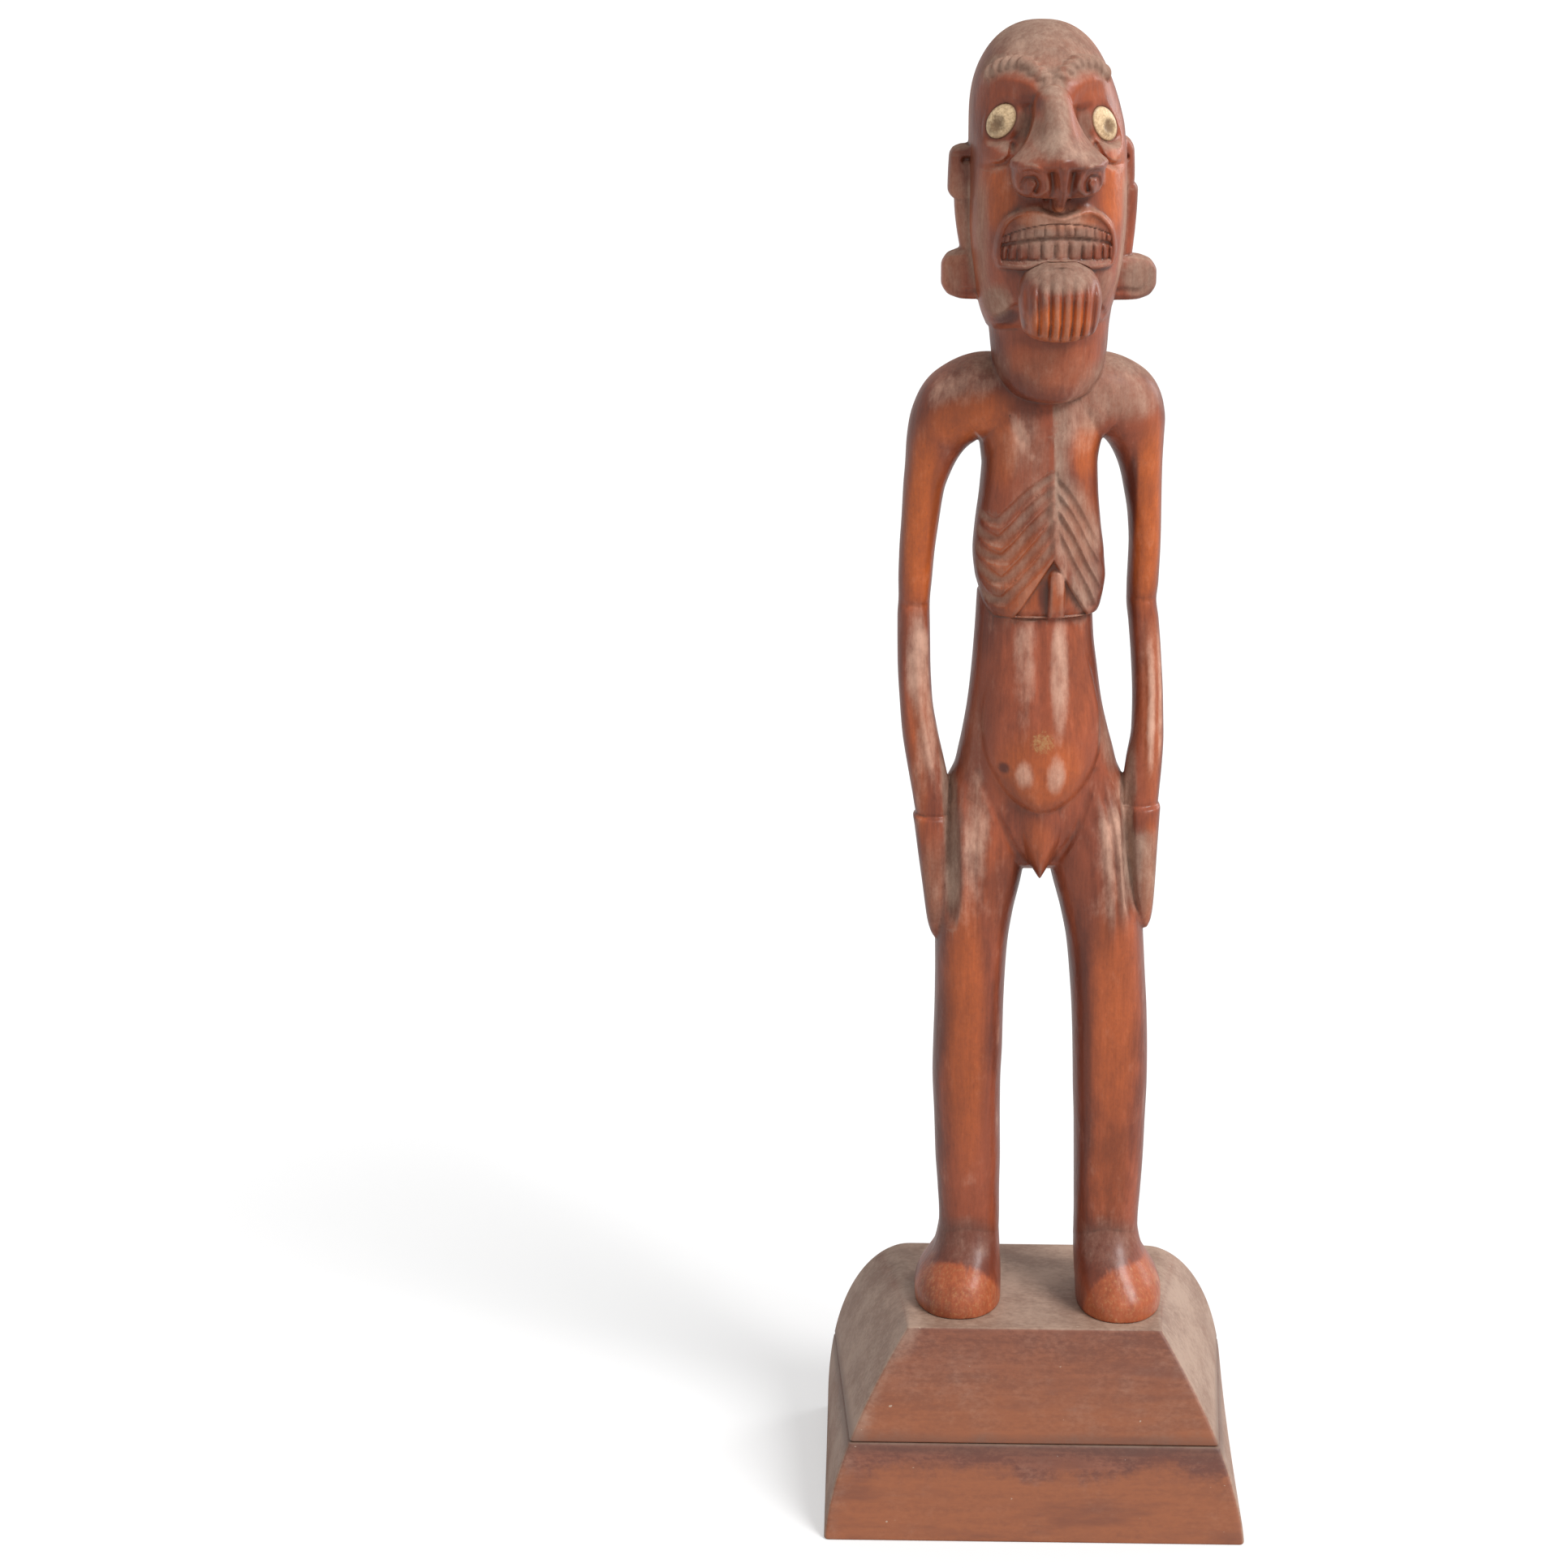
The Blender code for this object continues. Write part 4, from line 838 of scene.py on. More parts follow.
# Where dust lies, where the wood glows orange, where highlights and shade are painted, and where it is
# worn. Ovals on the front view:
# (x, height, half width, half height, tilt in degrees, strength)
paint = {
    "dust": [
        (-2, 494, 30, 12, 0, 0.75), (-2, 470, 7, 14, 0, 0.85), (-1, 462, 14, 5, 0, 0.4),
        (-9, 460, 8, 7, 0, 0.25), (8, 460, 8, 7, 0, 0.6), (-2.5, 482, 8, 8, 0, 0.9),
        (-12, 466, 4, 7, 0, 0.7), (-6, 464, 8, 9, 0, 0.8), (10, 466, 4, 7, 0, 0.7),
        (18, 408, 6, 10, 0, 0.5), (-20, 403, 7, 9, 0, 0.75), (0.5, 428, 22, 11, 0, 0.65),
        (0.5, 434, 21, 7, 0, 0.45), (1, 415, 16, 7, 0, 0.8), (34, 408, 9, 10, 0, 0.8),
        (-34, 425, 8, 36, 0, 0.5), (1, 378, 20, 13, 0, 0.3), (-28, 374, 24, 11, 20, 0.35),
        (26, 368, 24, 15, -25, 0.6), (13, 360, 13, 8, -40, 0.6), (-7, 345, 12, 22, 0, 0.35),
        (-6, 330, 10, 10, 0, 0.4), (10, 318, 14, 28, 20, 0.65), (16, 296, 9, 15, 0, 0.65),
        (-45, 258, 7, 36, 0, 0.25), (43, 262, 6, 38, 0, 0.3), (42, 235, 7, 38, 0, 0.2),
        (-40, 235, 8, 34, -10, 0.3), (-24, 200, 6.5, 30, -4, 0.45), (-25, 234, 6, 24, -8, 0.3),
        (31, 200, 9, 30, -8, 0.3), (28, 233, 7, 22, 10, 0.55), (-39, 175, 8, 28, 0, 0.45),
        (41, 182, 8, 28, 0, 0.65), (-27, 27, 17, 14, 0, 0.3), (29, 27, 17, 14, 0, 0.32),
    ],
    # painted highlights: pale pink patches that stand for gloss on the belly, lip, chest, shoulder, thighs
    # and forearms
    "paintedHighlight": [
        (-6.4, 264, 5.6, 30, 0, 0.55), (7, 262, 5.2, 30, 0, 1), (-5.8, 223.4, 4.6, 7.5, 0, 0.75),
        (6, 223, 4.8, 10, 0, 0.9), (0.5, 434.5, 15, 4, 0, 0.6), (30, 194, 8, 36, -6, 0.6),
        (14, 362, 12, 8, -35, 0.35), (-23.4, 192, 6.6, 38, -4, 0.5), (-32, 368, 18, 9, 15, 0.5),
        (12, 352, 9, 14, 0, 0.4), (-9, 352, 3.2, 14, 25, 0.6), (6.5, 297, 3, 9, 0, 0.7),
        (-41.5, 240, 5, 46, -6, 0.6), (-44.6, 262, 6, 28, 0, 1),
    ],
    "glow": [
        (15, 479, 13, 7, 0, 0.3), (22, 443, 9, 18, 0, 0.7), (-21, 441, 9, 16, 0, 0.6),
        (0.5, 435, 21, 6, 0, 0.9), (14, 318, 10, 22, 0, 0.5), (0, 399, 14, 10, 0, 1),
        (0, 380, 24, 14, 0, 0.35), (-16, 346, 8, 18, 0, 0.6), (15.5, 346, 7, 16, 0, 0.75),
        (-44, 318, 10, 48, 0, 0.9), (41, 318, 10, 48, 0, 0.95), (-28, 358, 22, 13, 20, 0.75),
        (-36, 430, 9, 40, 0, 0.4), (-10, 300, 18, 24, 0, 0.6), (5, 292, 9, 9, 0, 0.5),
        (14, 262, 10, 40, 0, 0.3), (0, 224, 22, 22, 0, 0.6), (0, 195, 9, 14, 0, 0.4),
        (-15, 180, 10, 32, 0, 0.3), (-28, 120, 11, 80, 0, 0.6), (29, 125, 13, 80, 0, 0.5),
        (28, 62, 11, 44, 0, 0.4), (-45, 225, 5, 50, 0, 0.5), (-40, 178, 7, 26, 0, 0.4),
        (43, 180, 5, 30, 0, 0.6), (44, 245, 6, 50, 0, 0.5),
    ],
    # painted shade: darker colour under the brow and nose, beside the beard, under the neck's ledge, in the
    # rib cage's opening, at the feet, and on the inner and left sides of the limbs and hips, away from the
    # light
    "deep": [
        (-17, 478, 14, 9, 0, 0.2), (-10, 475, 6, 4, 0, 0.6), (-8, 440, 8, 4, 0, 0.4),
        (6, 440, 7, 4, 0, 0.4), (-16, 397, 6, 4, 30, 0.9), (0.5, 292, 3.5, 9, 0, 0.8),
        (-10, 371, 18, 7, -25, 0.5), (1, 369, 14, 5, 0, 0.4), (0, 389, 24, 5, 0, 0.5),
        (-20, 258, 8, 40, 0, 0.45), (20, 185, 12, 40, 0, 0.4), (-13.4, 225.3, 3, 3, 0, 0.8),
        (-27, 22, 22, 20, 0, 0.75), (29, 22, 22, 20, 0, 0.65), (-26, 60, 16, 40, 0, 0.15),
        (34.2, 318, 3.2, 34, 0, 0.9), (17, 100, 5, 90, 0, 0.6), (-19, 100, 5, 80, 0, 0.35),
        (-39, 320, 3, 30, 0, 0.4), (-11, 165, 6, 28, 8, 0.45), (-18, 290, 9, 9, 0, 0.45),
        (-24, 226, 9, 16, 0, 0.4), (15, 474, 12, 10, 0, 0.2), (1, 236, 14, 10, 0, 0.25),
    ],
    "worn": [(0.8, 236, 6.6, 5.8, 0, 0.62)],
    "toes": [(-31, 0, 18.5, 20, 0, 1.0), (37, 0, 18.5, 20.5, 6, 1.0)],
}

# Dusty lines and painted highlight lines: a path, its half width and its strength
paintLines = {
    "dust": [
        ([(-27, 456), (-27.4, 436), (-26.8, 416), (-24, 404), (-19.6, 396.5)], 4.6, 0.75),
        ([(26.6, 456), (27.2, 436), (26.2, 416), (22.6, 404), (18.4, 398)], 3.6, 0.8),
        ([(-27.5, 476), (-25.5, 482), (-20, 486.4), (-14, 487.2), (-8, 484.6), (-3, 480)], 4.8, 1),
        ([(22, 476), (19.5, 482), (14, 486.6), (9, 487.2), (3.5, 484.6), (-2, 480)], 4.8, 1),
        ([(-35, 246), (-33.6, 224), (-33, 206), (-32.4, 190), (-33, 150)], 4, 1),
        ([(36.4, 246), (34.8, 224), (34.6, 206), (34.8, 190), (37.4, 156)], 4, 1),
        ([(24, 226), (28.8, 209), (31.8, 190), (32.8, 170), (33.2, 150)], 3, 0.6),
        ([(19, 222), (24.2, 205), (27.2, 185), (28.2, 166), (28.4, 146)], 2.6, 0.5),
        ([(-26, 228), (-28.8, 212), (-29.2, 190), (-28.8, 156)], 2.4, 0.4),
    ],
    # painted highlight lines along the forearm and thigh ridges and the right edges of the arms and legs
    "paintedHighlight": [
        ([(-44.8, 282), (-44.4, 254), (-41.6, 230), (-37.6, 206)], 1.9, 0.8),
        ([(42, 282), (43.6, 252), (42.8, 222), (41, 208)], 1.9, 0.9),
        ([(45.6, 282), (47.2, 250), (46.6, 222), (45.4, 210)], 1.2, 0.7),
        ([(40.8, 150), (41.6, 122), (42.2, 92), (41.6, 62), (40.4, 40)], 1.5, 0.6),
        ([(-16, 136), (-15, 112), (-15.4, 84), (-15.4, 50)], 1.3, 0.4),
        ([(46, 330), (47, 316), (47.4, 300), (46.6, 288)], 1.5, 0.6),
        ([(31.8, 200), (33, 180), (33.6, 158)], 1.2, 0.7),
    ],
}


def paintedLines(name, x, z):
    total = np.zeros(x.shape)
    for places, width, strength in paintLines[name]:
        total = np.maximum(total, strength * stroke(x, z, places, width, 1.0, taper=0.3))
    return total


def paintLayer(name, x, z, edge=0.9):
    total = np.zeros(x.shape)
    for middleX, middleZ, wide, high, tilt, strength in paint[name]:
        oval = blob(x, z, (middleX, middleZ), (wide, high), tilt, edge)
        total = np.maximum(total, strength * oval)
    return total


def makeFigure():
    mesh = blockOut()
    points, normals = meshArrays(mesh)
    print("clay skin:", len(points), "points")
    points, _ = seatInlays(carve(points, normals))
    setPoints(mesh, points)
    mesh = thinned(mesh)
    points, normals = meshArrays(mesh)
    # the belly runs softly into the hips, and a few creases are rounded off
    x, y, z = points.T
    soft = blob(x, z, (0, 240), (30, 42), edge=0.5) * smoothStep(-z, -279, -272)
    soft *= smoothStep(-normals[:, 1], 0.0, 0.3)
    for place in clay["rounded"]:
        soft = np.maximum(soft, blob(x, z, place, (5, 5)))
    points += (relaxed(mesh, points, clay["softRounds"]) - points) * soft[:, None]
    setPoints(mesh, points)
    points, normals = meshArrays(mesh)
    x, y, z = points.T
    front = smoothStep(-normals[:, 1], -0.1, 0.4)
    behind = 1 - front
    hollow = hollowness(mesh, points, normals)
    _, rims = seatInlays(points)
    toes = paintLayer("toes", x, z, 0.14) * smoothStep(-y, -12, -4) * smoothStep(-z, -22, -18)
    lying = 0.8 * smoothStep(normals[:, 2], 0.2, 0.9) * (1 - 0.6 * smoothStep(-z, -60, -40))
    lying *= 1 - 0.45 * blob(x, z, (-34, 364), (24, 22))
    # the wrists and elbows are handled, and hold no dust
    joints = np.maximum(blob(z, z, (204, 204), (12, 12)), blob(z, z, (284, 284), (12, 12)))
    handled = 1 - joints * smoothStep(np.abs(x), 35, 38)
    lines = paintedLines("dust", x, z)
    dust = np.maximum(np.maximum(paintLayer("dust", x, z), lines) * front, lying)
    dust = np.maximum(dust, 0.35 * behind * smoothStep(z, 330, 480))
    # one plane of the chest is dusty, up to the breastbone
    beyond = x - breastLine(z)
    reach = 10 + 10 * smoothStep(z, 344, 366)
    plane = smoothStep(beyond, -0.3, 0.6) * smoothStep(1 - beyond / reach, 0, 0.8)
    plane = plane * smoothStep(z, 308, 330) * smoothStep(-z, -368, -360)
    dust = np.maximum(dust, 0.8 * plane * front)
    leftRibs = np.zeros(len(points))
    for places, width, _ in knifeWork["ribs"][:5]:
        leftRibs = np.maximum(leftRibs, stroke(x, z, places, width, 1.0))
    dust = np.maximum(dust, 0.6 * leftRibs * front)
    addLayer(mesh, "dust", np.maximum(dust * (1 - toes), 0.15 * toes) * handled)
    # painted highlights, kept to surfaces that face forward
    paintedHighlight = np.maximum(paintLayer("paintedHighlight", x, z, 1.0), paintedLines("paintedHighlight", x, z)) * front
    addLayer(mesh, "paintedHighlight", paintedHighlight * smoothStep(-normals[:, 1], 0.2, 0.6))
    glow = np.maximum(paintLayer("glow", x, z) * (1 - 0.8 * lines) * front, 0.4 * behind)
    addLayer(mesh, "glow", np.maximum(glow, 0.38 * toes))
    # painted shade where the forms below the head turn sideways
    sides = 0.6 * smoothStep(np.abs(normals[:, 0]), 0.6, 1.0) * smoothStep(-z, -392, -386)
    # the painted shade layer: the shade ovals and the shaded sides
    deep = np.maximum(paintLayer("deep", x, z) * (1 - lines) * front, sides)
    addLayer(mesh, "deep", deep * (1 - toes))
    # grime and painted shade darken the hollows, less where dust lies in the rib grooves and along the
    # dusty lines
    hollowGrimeAndShade = smoothStep(hollow, 0.05, 0.6) * (1 - np.maximum(0.5 * leftRibs, 0.9 * lines) * front)
    addLayer(mesh, "hollowGrimeAndShade", np.maximum(hollowGrimeAndShade, rims))
    addLayer(mesh, "edge", smoothStep(-hollow, 0.08, 0.7) * handled)
    addLayer(mesh, "worn", np.maximum(paintLayer("worn", x, z) * front, 0.3 * toes))
    placed = posed(points)
    placed[:, 2] = np.maximum(placed[:, 2], stance["soles"] * mm)  # the soles are pressed flat
    setPoints(mesh, placed)
    mesh.shade_smooth()
    return linked("carvedFigure", mesh)


# The plinth: a slanted front and domed shoulders at the back

plinth = {
    "width": 163 * mm,
    "depth": 112 * mm,
    "height": 75 * mm,
    "seam": 34 * mm,
    "gap": 0.3 * mm,
    "setback": 34 * mm,
    "corner": 1.6 * mm,
    "worn": 0.9 * mm,
}


def frontHalf(height):
    return plinth["width"] / 2 * (1 - 0.392 * (height / plinth["height"]) ** 1.57)


def backHalf(height):
    half = plinth["width"] / 2
    top = 0.59 * half
    return top + (half - top) * math.sqrt(max(0.0, 1 - (height / plinth["height"]) ** 2.45))


def boardOutline(height, inset, perSide=40, perCorner=5):
    corner = plinth["corner"]
    front = frontHalf(height) - inset
    back = backHalf(height) - inset
    near = -plinth["depth"] / 2 + plinth["setback"] * height / plinth["height"] + inset
    far = plinth["depth"] / 2 - inset
    right = [(x, near) for x in np.linspace(0, front - corner, perSide)]
    for k in range(1, perCorner + 1):
        a = math.pi / 2 * k / perCorner
        right.append((front - corner + corner * math.sin(a), near + corner - corner * math.cos(a)))
    for t in np.linspace(0, 1, perSide)[1:-1]:
        right.append((front + (back - front) * t, near + corner + (far - near - 2 * corner) * t))
    for k in range(perCorner + 1):
        a = math.pi / 2 * k / perCorner
        right.append((back - corner + corner * math.cos(a), far - corner + corner * math.sin(a)))
    right += [(x, far) for x in np.linspace(back - corner, 0, perSide)[1:]]
    left = [(-x, y) for x, y in reversed(right[1:-1])]
    return right + left


def makeBoard(name, low, high):
    worn = plinth["worn"]
    rows = []
    quarter = np.linspace(0, math.pi / 2, 6)
    for a in quarter:
        rows.append((low + worn * (1 - math.cos(a)), worn * (1 - math.sin(a))))
    for k in range(1, 40):
        share = math.sin(math.pi / 2 * k / 40)
        rows.append((low + worn + (high - low - 2 * worn) * share, 0.0))
    for a in quarter:
        rows.append((high - worn + worn * math.sin(a), worn * (1 - math.cos(a))))
    rings = [[(x, y, height) for x, y in boardOutline(height, inset)] for height, inset in rows]
    points, faces = skin(np.array(rings))
    obj = newObject(name, points, faces)
    # dust runs in a little way from the corner on the figure's right
    inward = points[:, 0] + np.array([frontHalf(height) for height in points[:, 2]])
    front = plinth["setback"] * (points[:, 2] / plinth["height"]) - plinth["depth"] / 2
    onFront = points[:, 1] < front + 2 * mm
    addLayer(obj.data, "corner", 0.28 * onFront * smoothStep(-inward, -9 * mm, 0))
    obj.data.shade_smooth()
    return obj


# Materials


def startMaterial(name):
    material = bpy.data.materials.new(name)
    material.use_nodes = True
    tree = material.node_tree
    return material, tree, tree.nodes["Principled BSDF"]


def addNode(tree, kind, **settings):
    node = tree.nodes.new(kind)
    for key, value in settings.items():
        if key in node.inputs:
            node.inputs[key].default_value = value
        else:
            setattr(node, key, value)
    return node


def setInput(tree, socket, value):
    if isinstance(value, bpy.types.NodeSocket):
        tree.links.new(value, socket)
    else:
        socket.default_value = value


def layerValue(tree, name):
    return addNode(tree, "ShaderNodeAttribute", attribute_name=name).outputs["Fac"]


def maths(tree, kind, a, b=0, clamp=False):
    node = addNode(tree, "ShaderNodeMath", operation=kind, use_clamp=clamp)
    setInput(tree, node.inputs[0], a)
    setInput(tree, node.inputs[1], b)
    return node.outputs[0]


def plus(tree, a, b):
    return maths(tree, "ADD", a, b)


def times(tree, a, b):
    return maths(tree, "MULTIPLY", a, b)


def mixed(tree, *parts):  # patterns added up, each (pattern, share)
    total = times(tree, *parts[0])
    for part in parts[1:]:
        total = plus(tree, total, times(tree, *part))
    return total


def mixColor(tree, share, a, b, blend="MIX"):
    node = addNode(tree, "ShaderNodeMix", data_type="RGBA", blend_type=blend)
    setInput(tree, node.inputs["Factor"], share)
    setInput(tree, node.inputs[6], a)
    setInput(tree, node.inputs[7], b)
    return node.outputs[2]


def noise(tree, stretch, scale, detail=4.0, roughness=0.55, offset=(0, 0, 0), distortion=0.0):
    place = addNode(tree, "ShaderNodeTexCoord").outputs["Object"]
    mapping = addNode(tree, "ShaderNodeMapping")
    tree.links.new(place, mapping.inputs["Vector"])
    mapping.inputs["Scale"].default_value = stretch
    mapping.inputs["Location"].default_value = offset
    node = addNode(tree, "ShaderNodeTexNoise", Scale=scale, Detail=detail, Roughness=roughness)
    node.inputs["Distortion"].default_value = distortion
    tree.links.new(mapping.outputs["Vector"], node.inputs["Vector"])
    return node.outputs["Fac"]


def spread(tree, value, low, high, to0=0.0, to1=1.0):
    node = addNode(tree, "ShaderNodeMapRange", interpolation_type="SMOOTHSTEP")
    setInput(tree, node.inputs["Value"], value)
    node.inputs["From Min"].default_value = low
    node.inputs["From Max"].default_value = high
    node.inputs["To Min"].default_value = to0
    node.inputs["To Max"].default_value = to1
    return node.outputs["Result"]


def bump(tree, height, strength, distance, before=None):
    node = addNode(tree, "ShaderNodeBump", Strength=strength, Distance=distance)
    tree.links.new(height, node.inputs["Height"])
    if before is not None:
        tree.links.new(before, node.inputs["Normal"])
    return node.outputs["Normal"]


wood = {
    "dark": (0.19, 0.044, 0.021, 1),
    "middle": (0.36, 0.084, 0.036, 1),
    "glow": (0.56, 0.122, 0.022, 1),
    # the colour of the painted shade
    "deep": (0.12, 0.028, 0.016, 1),
    "dust": (0.33, 0.2, 0.145, 1),
    "dustPale": (0.42, 0.285, 0.215, 1),
    # the pale pink colour of the painted highlights
    "paintedHighlight": (0.66, 0.375, 0.27, 1),
    "worn": (0.46, 0.26, 0.105, 1),
    # dark colour for grime in the pores, and for grime and painted shade in the hollows
    "grimeAndShade": (0.075, 0.034, 0.022, 1),
    "polish": 0.42,  # roughness of the clean wood, and of the dust
    "dusty": 0.8,
}


def patchy(tree, layer, pattern, amount, low=0.2, high=0.8, most=1.0):  # a layer with a broken edge
    shifted = times(tree, maths(tree, "SUBTRACT", pattern, 0.5), amount)
    return spread(tree, plus(tree, layer, shifted), low, high, 0.0, most)


def figureWood():
    material, tree, shader = startMaterial("polishedWood")
    grain = noise(tree, (1, 1, 0.045), 900, 4, 0.65)
    broad = noise(tree, (1, 1, 0.4), 42, 5, 0.6, offset=(0.3, 0.1, 0))
    flecks = noise(tree, (1, 1, 0.8), 800, 5, 0.7)
    patches = noise(tree, (1, 1, 0.6), 110, 5, 0.65, offset=(0.7, 0, 0.2))
    tone = mixed(tree, (broad, 0.88), (grain, 0.12))
    color = mixColor(tree, spread(tree, tone, 0.38, 0.6), wood["dark"], wood["middle"])
    streaks = noise(tree, (1, 1, 0.14), 420, 4, 0.65, offset=(0.2, 0.6, 0.1))
    rubbed = mixed(tree, (flecks, 0.25), (streaks, 0.25), (patches, 0.5))
    glowShare = patchy(tree, layerValue(tree, "glow"), broad, 0.5, 0.0, 1.0)
    glowColor = mixColor(tree, spread(tree, rubbed, 0.35, 0.65, 0.45, 0.0), wood["glow"], wood["middle"])
    color = mixColor(tree, glowShare, color, glowColor)
    # painted shade
    paintedShadeShare = patchy(tree, layerValue(tree, "deep"), patches, 0.35, 0.0, 1.0)
    color = mixColor(tree, paintedShadeShare, color, wood["deep"])
    # dust breaks up where it has been rubbed
    dustShare = patchy(tree, layerValue(tree, "dust"), rubbed, 0.9, 0.05, 1.0, 0.9)
    edgeShare = times(tree, patchy(tree, layerValue(tree, "edge"), patches, 0.6), 0.3)
    dustShare = maths(tree, "MAXIMUM", dustShare, edgeShare)
    dustColor = mixColor(tree, spread(tree, rubbed, 0.35, 0.65), wood["dust"], wood["dustPale"])
    color = mixColor(tree, dustShare, color, dustColor)
    # painted highlights, broken up by streaks and patches
    broken = mixed(tree, (streaks, 0.25), (patches, 0.75))
    paintedHighlightShare = patchy(tree, layerValue(tree, "paintedHighlight"), broken, 2.2, 0.05, 1.25, 0.95)
    color = mixColor(tree, paintedHighlightShare, color, wood["paintedHighlight"])
    wornShare = patchy(tree, layerValue(tree, "worn"), flecks, 2.0, 0.25, 1.0, 0.8)
    color = mixColor(tree, wornShare, color, wood["worn"])
    # grime and painted shade in the hollows
    color = mixColor(tree, times(tree, layerValue(tree, "hollowGrimeAndShade"), 0.7), color, wood["grimeAndShade"])
    shade = mixed(tree, (grain, 0.25), (rubbed, 0.75))
    color = mixColor(tree, 1.0, color, spread(tree, shade, 0.34, 0.64, 0.85, 1.13), "MULTIPLY")
    pores = noise(tree, (1, 1, 0.5), 1300, 2, 0.5, offset=(0.1, 0.4, 0))
    color = mixColor(tree, spread(tree, pores, 0.64, 0.74, 0.0, 0.2), color, wood["grimeAndShade"])
    tree.links.new(color, shader.inputs["Base Color"])
    roughness = spread(tree, dustShare, 0.0, 0.8, wood["polish"], wood["dusty"])
    tree.links.new(roughness, shader.inputs["Roughness"])
    coat = maths(tree, "SUBTRACT", 0.27, times(tree, dustShare, 0.4), clamp=True)
    tree.links.new(coat, shader.inputs["Coat Weight"])
    shader.inputs["Coat Roughness"].default_value = 0.24
    shader.inputs["Specular IOR Level"].default_value = 0.35
    ripples = bump(tree, grain, 0.1, 0.0003)
    facets = noise(tree, (1, 1, 0.5), 170, 3, 0.5)
    tree.links.new(bump(tree, facets, 0.55, 0.0011, ripples), shader.inputs["Normal"])
    return material


bone = {
    "dark": (0.62, 0.42, 0.23, 1),
    "light": (0.98, 0.73, 0.44, 1),
    "stain": (0.21, 0.115, 0.055, 1),
    "rim": (0.2, 0.1, 0.045, 1),
    "roughness": 0.45,
}


def boneMaterial():
    material, tree, shader = startMaterial("agedBone")
    speckle = noise(tree, (1, 1, 1), 1100, 4, 0.6)
    color = mixColor(tree, spread(tree, speckle, 0.3, 0.7), bone["dark"], bone["light"])
    stain = noise(tree, (1, 1, 1), 420, 4, 0.6, offset=(0.5, 0.2, 0.3))
    patch = patchy(tree, layerValue(tree, "patch"), stain, 1.4, 0.1, 0.95, 0.92)
    color = mixColor(tree, patch, color, bone["stain"])
    color = mixColor(tree, times(tree, layerValue(tree, "rim"), 0.6), color, bone["rim"])
    tree.links.new(color, shader.inputs["Base Color"])
    shader.inputs["Roughness"].default_value = bone["roughness"]
    tree.links.new(bump(tree, speckle, 0.2, 0.0003), shader.inputs["Normal"])
    return material


board = {
    "dark": (0.15, 0.05, 0.033, 1),
    "light": (0.26, 0.09, 0.052, 1),
    "warm": (0.33, 0.105, 0.042, 1),
    "dust": (0.45, 0.31, 0.232, 1),
    "oldDust": (0.3, 0.2, 0.146, 1),
    "seam": (0.1, 0.05, 0.038, 1),
    "pale": (0.5, 0.38, 0.29, 1),
    "roughness": 0.5,
}


def boardWood(name, offset, warmFrom, warmTo, thinDust):  # the wood warms from one height to another
    material, tree, shader = startMaterial(name)
    grain = noise(tree, (0.06, 1, 1), 380, 4, 0.6, offset=offset, distortion=0.3)
    bands = noise(tree, (0.2, 0.5, 1), 90, 5, 0.65, offset=offset)
    patches = noise(tree, (1, 1, 1), 60, 6, 0.65, offset=offset)
    mottle = noise(tree, (0.6, 1, 1), 650, 4, 0.7, offset=offset)
    tone = mixed(tree, (mottle, 0.3), (grain, 0.25), (bands, 0.45))
    color = mixColor(tree, spread(tree, tone, 0.43, 0.58), board["dark"], board["light"])
    place = addNode(tree, "ShaderNodeSeparateXYZ")
    tree.links.new(addNode(tree, "ShaderNodeTexCoord").outputs["Object"], place.inputs["Vector"])
    waves = times(tree, maths(tree, "SUBTRACT", patches, 0.5), 0.03)
    warm = spread(tree, plus(tree, place.outputs["Z"], waves), warmFrom, warmTo)
    warm = times(tree, warm, spread(tree, tone, 0.3, 0.6, 0.5, 1.0))
    color = mixColor(tree, warm, color, board["warm"])
    color = mixColor(tree, spread(tree, bands, 0.46, 0.7, 0.0, 0.6), color, board["dark"])
    normal = addNode(tree, "ShaderNodeSeparateXYZ")
    tree.links.new(addNode(tree, "ShaderNodeNewGeometry").outputs["Normal"], normal.inputs["Vector"])
    up = spread(tree, normal.outputs["Z"], 0.6, 0.95, 0.0, 0.8)
    sides = spread(tree, maths(tree, "ABSOLUTE", normal.outputs["X"]), 0.3, 0.75, 0.0, 0.75)
    settled = maths(tree, "MAXIMUM", maths(tree, "MAXIMUM", up, sides), layerValue(tree, "corner"))
    rubbed = mixed(tree, (mottle, 0.35), (patches, 0.65))
    dustShare = patchy(tree, plus(tree, settled, thinDust), rubbed, 1.2, 0.05, 1.1, 0.9)
    dustColor = mixColor(tree, spread(tree, rubbed, 0.36, 0.6), board["oldDust"], board["dust"])
    color = mixColor(tree, dustShare, color, dustColor)
    away = maths(tree, "ABSOLUTE", maths(tree, "SUBTRACT", place.outputs["Z"], plinth["seam"]))
    grimy = patchy(tree, spread(tree, away, 0.009, 0.0), rubbed, 1.4, 0.3, 1.2, 0.55)
    color = mixColor(tree, grimy, color, board["seam"])
    specks = noise(tree, (0.7, 1, 1), 480, 2, 0.4, offset=(offset[0] + 0.31, offset[1], offset[2]))
    color = mixColor(tree, spread(tree, specks, 0.76, 0.8, 0, 0.7), color, board["pale"])
    tree.links.new(color, shader.inputs["Base Color"])
    shader.inputs["Roughness"].default_value = board["roughness"]
    tree.links.new(bump(tree, grain, 0.15, 0.0003), shader.inputs["Normal"])
    return material


def dress(obj, material, slot, *nodes):
    obj.data.materials.clear()
    obj.data.materials.append(material)
    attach(obj, "root")
    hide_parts(*nodes)


figure = makeFigure()
dress(figure, figureWood(), "figure_wood", "figure")
print("figure carved:", len(figure.data.polygons), "faces")

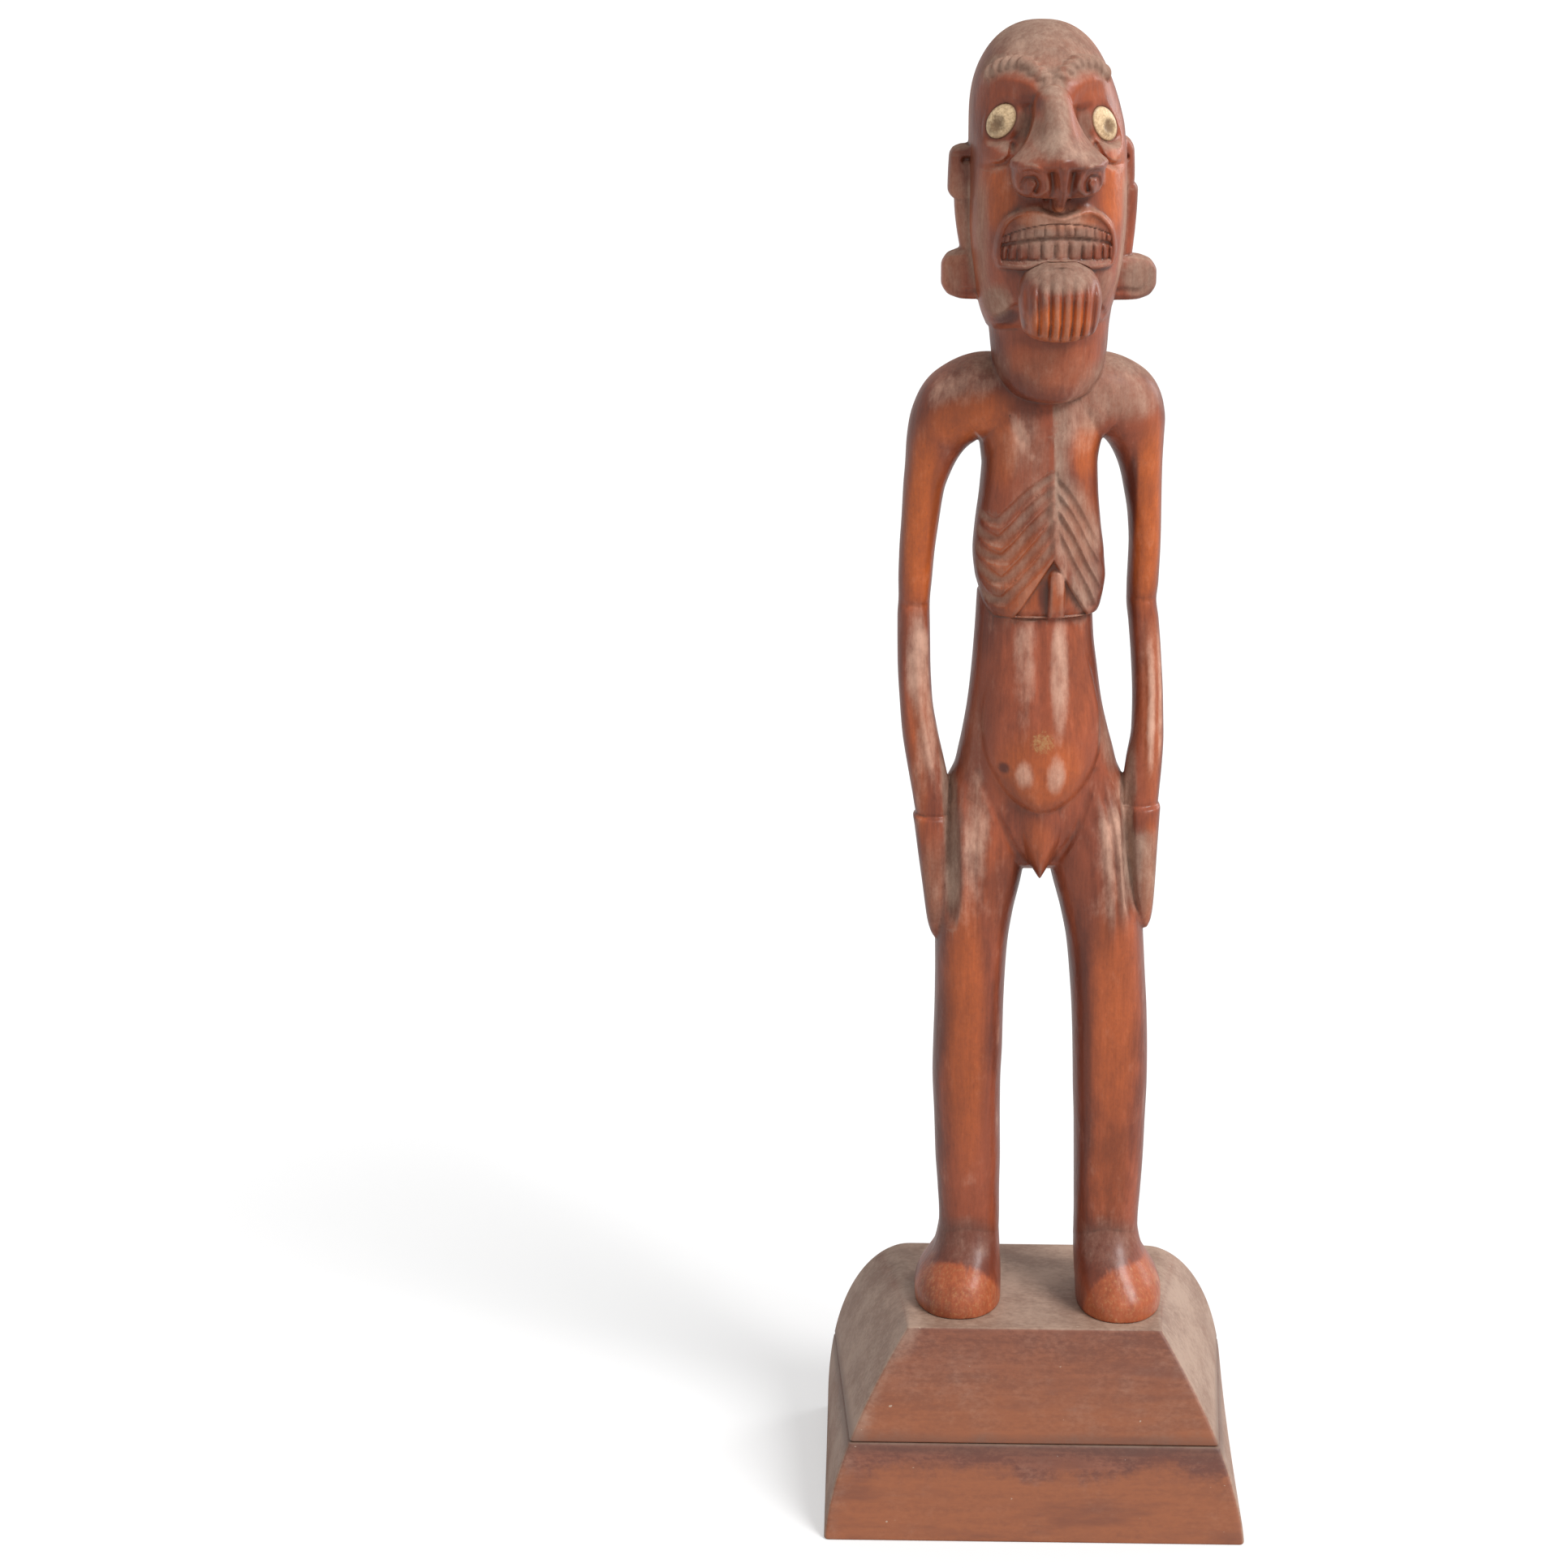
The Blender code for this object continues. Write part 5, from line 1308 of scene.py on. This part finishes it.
inlayBone = boneMaterial()
dress(makeInlay("eyeInlayRight", -1), inlayBone, "eye_bone", "eye_inlay_right")
dress(makeInlay("eyeInlayLeft", 1), inlayBone, "eye_bone", "eye_inlay_left")
print("bone inlays set")

lowerBoard = makeBoard("lowerBoard", 0, plinth["seam"])
upperBoard = makeBoard("upperBoard", plinth["seam"] + plinth["gap"], plinth["height"])
slabWood = boardWood("slabWood", (0.4, 0.2, 0.1), 0.029, 0.02, 0.06)
blockWood = boardWood("blockWood", (0, 0, 0), 0.09, 0.03, 0.16)
dress(lowerBoard, slabWood, "plinth_slab_wood", "plinth_slab")
dress(upperBoard, blockWood, "plinth_wood", "plinth_block")
print("plinth made")


# The floor, the lights and the camera

studio = {
    "floorSize": 6.0,
    "floorColor": (0.6, 0.6, 0.6, 1),
    "floorGlow": 0.42,
    "skyLight": 0.52,  # how bright the sky is as light, to the camera and in reflections
    "skySeen": 1.1,
    "skyMirrored": 0.55,
    "keyStrength": 2.45,
    "keySoftness": math.radians(24),
    "keyHeight": math.radians(44),
    "keyAside": math.radians(50),
    "rimPower": 8.0,
    "rimSize": 0.8,
    "rimPlace": (1.5, 1.0, 0.9),
    "aim": (0, 0, 0.3),  # where the lights point
    "camera": (-0.0635, -1.3331, 0.7239),
    "lookDown": 18.0,
    "lookAside": 1.5,
    "lens": 85,
    "sensor": 36,
}


def makeFloor():
    half = studio["floorSize"] / 2
    points = [(-half, -half, 0), (half, -half, 0), (half, half, 0), (-half, half, 0)]
    floor = newObject("studioFloor", points, [(0, 1, 2, 3)])
    material, tree, shader = startMaterial("paleFloor")
    shader.inputs["Base Color"].default_value = studio["floorColor"]
    shader.inputs["Roughness"].default_value = 0.9
    shader.inputs["Specular IOR Level"].default_value = 0.0
    shader.inputs["Emission Color"].default_value = (1, 1, 1, 1)
    seen = addNode(tree, "ShaderNodeLightPath").outputs["Is Camera Ray"]
    tree.links.new(times(tree, seen, studio["floorGlow"]), shader.inputs["Emission Strength"])
    floor.data.materials.append(material)


def placeLight(name, lamp, toLight):
    obj = linked(name, lamp)
    obj.location = Vector(studio["aim"]) + toLight
    obj.rotation_euler = toLight.to_track_quat("Z", "Y").to_euler()


def makeLights():
    key = bpy.data.lights.new("keyLight", "SUN")
    key.energy = studio["keyStrength"]
    key.angle = studio["keySoftness"]
    level = math.cos(studio["keyHeight"])
    aside = studio["keyAside"]
    high = math.sin(studio["keyHeight"])
    placeLight("keyLight", key, Vector((level * math.sin(aside), -level * math.cos(aside), high)))
    rim = bpy.data.lights.new("rimLight", "AREA")
    rim.energy = studio["rimPower"]
    rim.size = studio["rimSize"]
    placeLight("rimLight", rim, Vector(studio["rimPlace"]) - Vector(studio["aim"]))


def makeSky():
    world = bpy.data.worlds.new("studio")
    bpy.context.scene.world = world
    world.use_nodes = True
    tree = world.node_tree
    tree.nodes.clear()
    out = tree.nodes.new("ShaderNodeOutputWorld")
    light = tree.nodes.new("ShaderNodeBackground")
    rays = tree.nodes.new("ShaderNodeLightPath")
    # white behind the figure, softer where it lights the figure or shines in it
    base = studio["skyLight"]
    seen = (rays.outputs["Is Camera Ray"], studio["skySeen"] - base)
    mirrored = (rays.outputs["Is Glossy Ray"], studio["skyMirrored"] - base)
    tree.links.new(plus(tree, mixed(tree, seen, mirrored), base), light.inputs["Strength"])
    light.inputs["Color"].default_value = (1, 1, 1, 1)
    tree.links.new(light.outputs[0], out.inputs["Surface"])


def makeCamera():
    lens = bpy.data.cameras.new("photoView")
    lens.lens = studio["lens"]
    lens.sensor_width = studio["sensor"]
    camera = linked("photoView", lens)
    camera.location = studio["camera"]
    down = math.radians(90 - studio["lookDown"])
    camera.rotation_euler = (down, 0, math.radians(studio["lookAside"]))
    bpy.context.scene.camera = camera


makeFloor()
makeLights()
makeSky()
makeCamera()
bpy.context.scene.view_settings.view_transform = "Standard"
print("studio ready")
